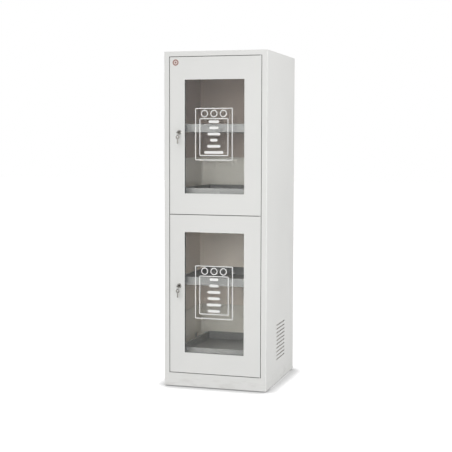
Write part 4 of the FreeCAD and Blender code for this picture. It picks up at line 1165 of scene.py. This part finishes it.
def floor_paint(tree, place):
    matt = tree.add("ShaderNodeBsdfDiffuse", {"Color": FLOOR_TONE})
    openness = tree.add(
        "ShaderNodeAmbientOcclusion", {"Distance": CONTACT_REACH}, output="AO", samples=CONTACT_SAMPLES
    )
    tone = tree.mix(openness ** CONTACT_FALL, FLOOR_SHADE, (1, 1, 1))
    glow = tree.add("ShaderNodeEmission", {"Color": tone, "Strength": FLOOR_GLOW})
    bright = tree.add("ShaderNodeAddShader", [matt, glow])
    seen = tree.add("ShaderNodeLightPath", output="Is Camera Ray")
    through = tree.add("ShaderNodeLightPath", output="Is Transmission Ray")
    bounces = tree.add("ShaderNodeLightPath", output="Diffuse Depth")
    seen = seen.math("MAXIMUM", through * (bounces < 0.5))
    return tree.add("ShaderNodeMixShader", {0: seen, 1: matt, 2: bright})


half_floor = FLOOR_SIZE / 2
floor_mesh = bpy.data.meshes.new("floor")
corners = [(-half_floor, -half_floor, 0), (half_floor, -half_floor, 0),
           (half_floor, half_floor, 0), (-half_floor, half_floor, 0)]
floor_mesh.from_pydata(corners, [], [(0, 1, 2, 3)])
floor_mesh.materials.append(finish("floor", floor_paint))
floor = bpy.data.objects.new("floor", floor_mesh)
bpy.context.scene.collection.objects.link(floor)

# %% [markdown]
# The world is a white room. It lights matt surfaces at a plain level and shows itself white to the
# camera. Polished metal mirrors it a little darker, so that metal keeps its form. What is seen through
# glass is brighter, which makes up for the light that the panes and the inside swallow.

# %% World
AMBIENT = 0.54
WORLD_FOR = (("Is Glossy Ray", 0.6), ("Is Transmission Ray", 2.2), ("Is Camera Ray", 1.0))


def white_room(world):
    """A white room whose strength depends on what kind of ray asks for it."""
    world.use_nodes = True
    world.node_tree.nodes.clear()
    tree = Tree(world.node_tree)
    light = tree.add("ShaderNodeBackground", {"Color": (1, 1, 1), "Strength": AMBIENT})
    for ray, strength in WORLD_FOR:
        asked = tree.add("ShaderNodeLightPath", output=ray)
        other = tree.add("ShaderNodeBackground", {"Color": (1, 1, 1), "Strength": strength})
        light = tree.add("ShaderNodeMixShader", {0: asked, 1: light, 2: other})
    tree.add("ShaderNodeOutputWorld", {"Surface": light})


scene = bpy.context.scene
scene.world = bpy.data.worlds.new("white_room")
white_room(scene.world)
print("world", len(scene.world.node_tree.nodes), "nodes")

# %% [markdown]
# The lamps only add direction to that even light. A sun lamp with a few degrees of width gives the soft
# edges of a distant window, and square area lamps stand in for the soft boxes of a photographer.

# %% Lamps
def far_lamp(name, direction, softness, strength):
    """A distant lamp: its light is parallel, and softness is its width in the sky in degrees."""
    lamp = bpy.data.lights.new(name, "SUN")
    lamp.energy = strength
    lamp.angle = math.radians(softness)
    holder = bpy.data.objects.new(name, lamp)
    holder.rotation_euler = Vector(direction).to_track_quat("-Z", "Y").to_euler()
    scene.collection.objects.link(holder)
    return holder


def soft_box(name, place, target, size, power):
    """A square area lamp that looks at a target."""
    lamp = bpy.data.lights.new(name, "AREA")
    lamp.shape = "SQUARE"
    lamp.size = size
    lamp.energy = power
    holder = bpy.data.objects.new(name, lamp)
    holder.location = place
    holder.rotation_euler = (Vector(target) - Vector(place)).to_track_quat("-Z", "Y").to_euler()
    scene.collection.objects.link(holder)
    return holder


DOORS_AIM = (0, front, 1.1)
SIDE_AIM = (0.3, 0, 0.9)
REAR_AIM = (0, 0, 0.9)
far_lamp("key_lamp", direction=(0.2, 1, -1), softness=5, strength=0.73)
front_lamp = soft_box("front_lamp", (0.5, -5.4, 2.0), DOORS_AIM, size=2.4, power=70)
front_lamp.visible_glossy = False
soft_box("side_lamp", (4.4, -1.2, 1.5), SIDE_AIM, size=2.2, power=96)
soft_box("rear_lamp", (-3.2, 3.4, 2.2), REAR_AIM, size=2.4, power=100)
print("lamps", [lamp.name for lamp in bpy.data.lights])

# %% [markdown]
# ## The camera
# The camera stands to the right, at about three quarters of the cabinet's height. Its place, turn and
# lens were fitted to the cabinet's edges, door gaps and windows. It is dipped a little, so that the
# lens needs only a small shift. The place is in millimetres from the foot of the front's middle, and
# the angles are in degrees.

# %% Camera
SENSOR_WIDTH = 36
CLIP_END = 200
FRAME_PIXELS = 452
FOCAL_PIXELS = 1041.0
CENTRE_PIXEL = (239.56, 207.92)
CAMERA_PLACE = (1760.0, -5537.5, 1392.4)
CAMERA_TURN, CAMERA_DIP, CAMERA_ROLL = 16.268, -3.6, 0.184

camera_data = bpy.data.cameras.new("camera")
camera_data.sensor_width = SENSOR_WIDTH
camera_data.lens = FOCAL_PIXELS * SENSOR_WIDTH / FRAME_PIXELS
camera_data.shift_x = (FRAME_PIXELS / 2 - CENTRE_PIXEL[0]) / FRAME_PIXELS
camera_data.shift_y = (CENTRE_PIXEL[1] - FRAME_PIXELS / 2) / FRAME_PIXELS
camera_data.clip_end = CLIP_END
camera = bpy.data.objects.new("camera", camera_data)
turn = Matrix.Rotation(math.radians(CAMERA_TURN), 4, "Z")
dip = Matrix.Rotation(math.radians(90 + CAMERA_DIP), 4, "X")
roll = Matrix.Rotation(math.radians(CAMERA_ROLL), 4, "Z")
place = Vector(CAMERA_PLACE) * MM + Vector((0, front, 0))
camera.matrix_world = Matrix.Translation(place) @ turn @ dip @ roll
scene.collection.objects.link(camera)
scene.camera = camera
scene.view_settings.view_transform = "Standard"
print(f"lens {camera_data.lens:.2f} mm, shift {camera_data.shift_x:.4f}, {camera_data.shift_y:.4f}")
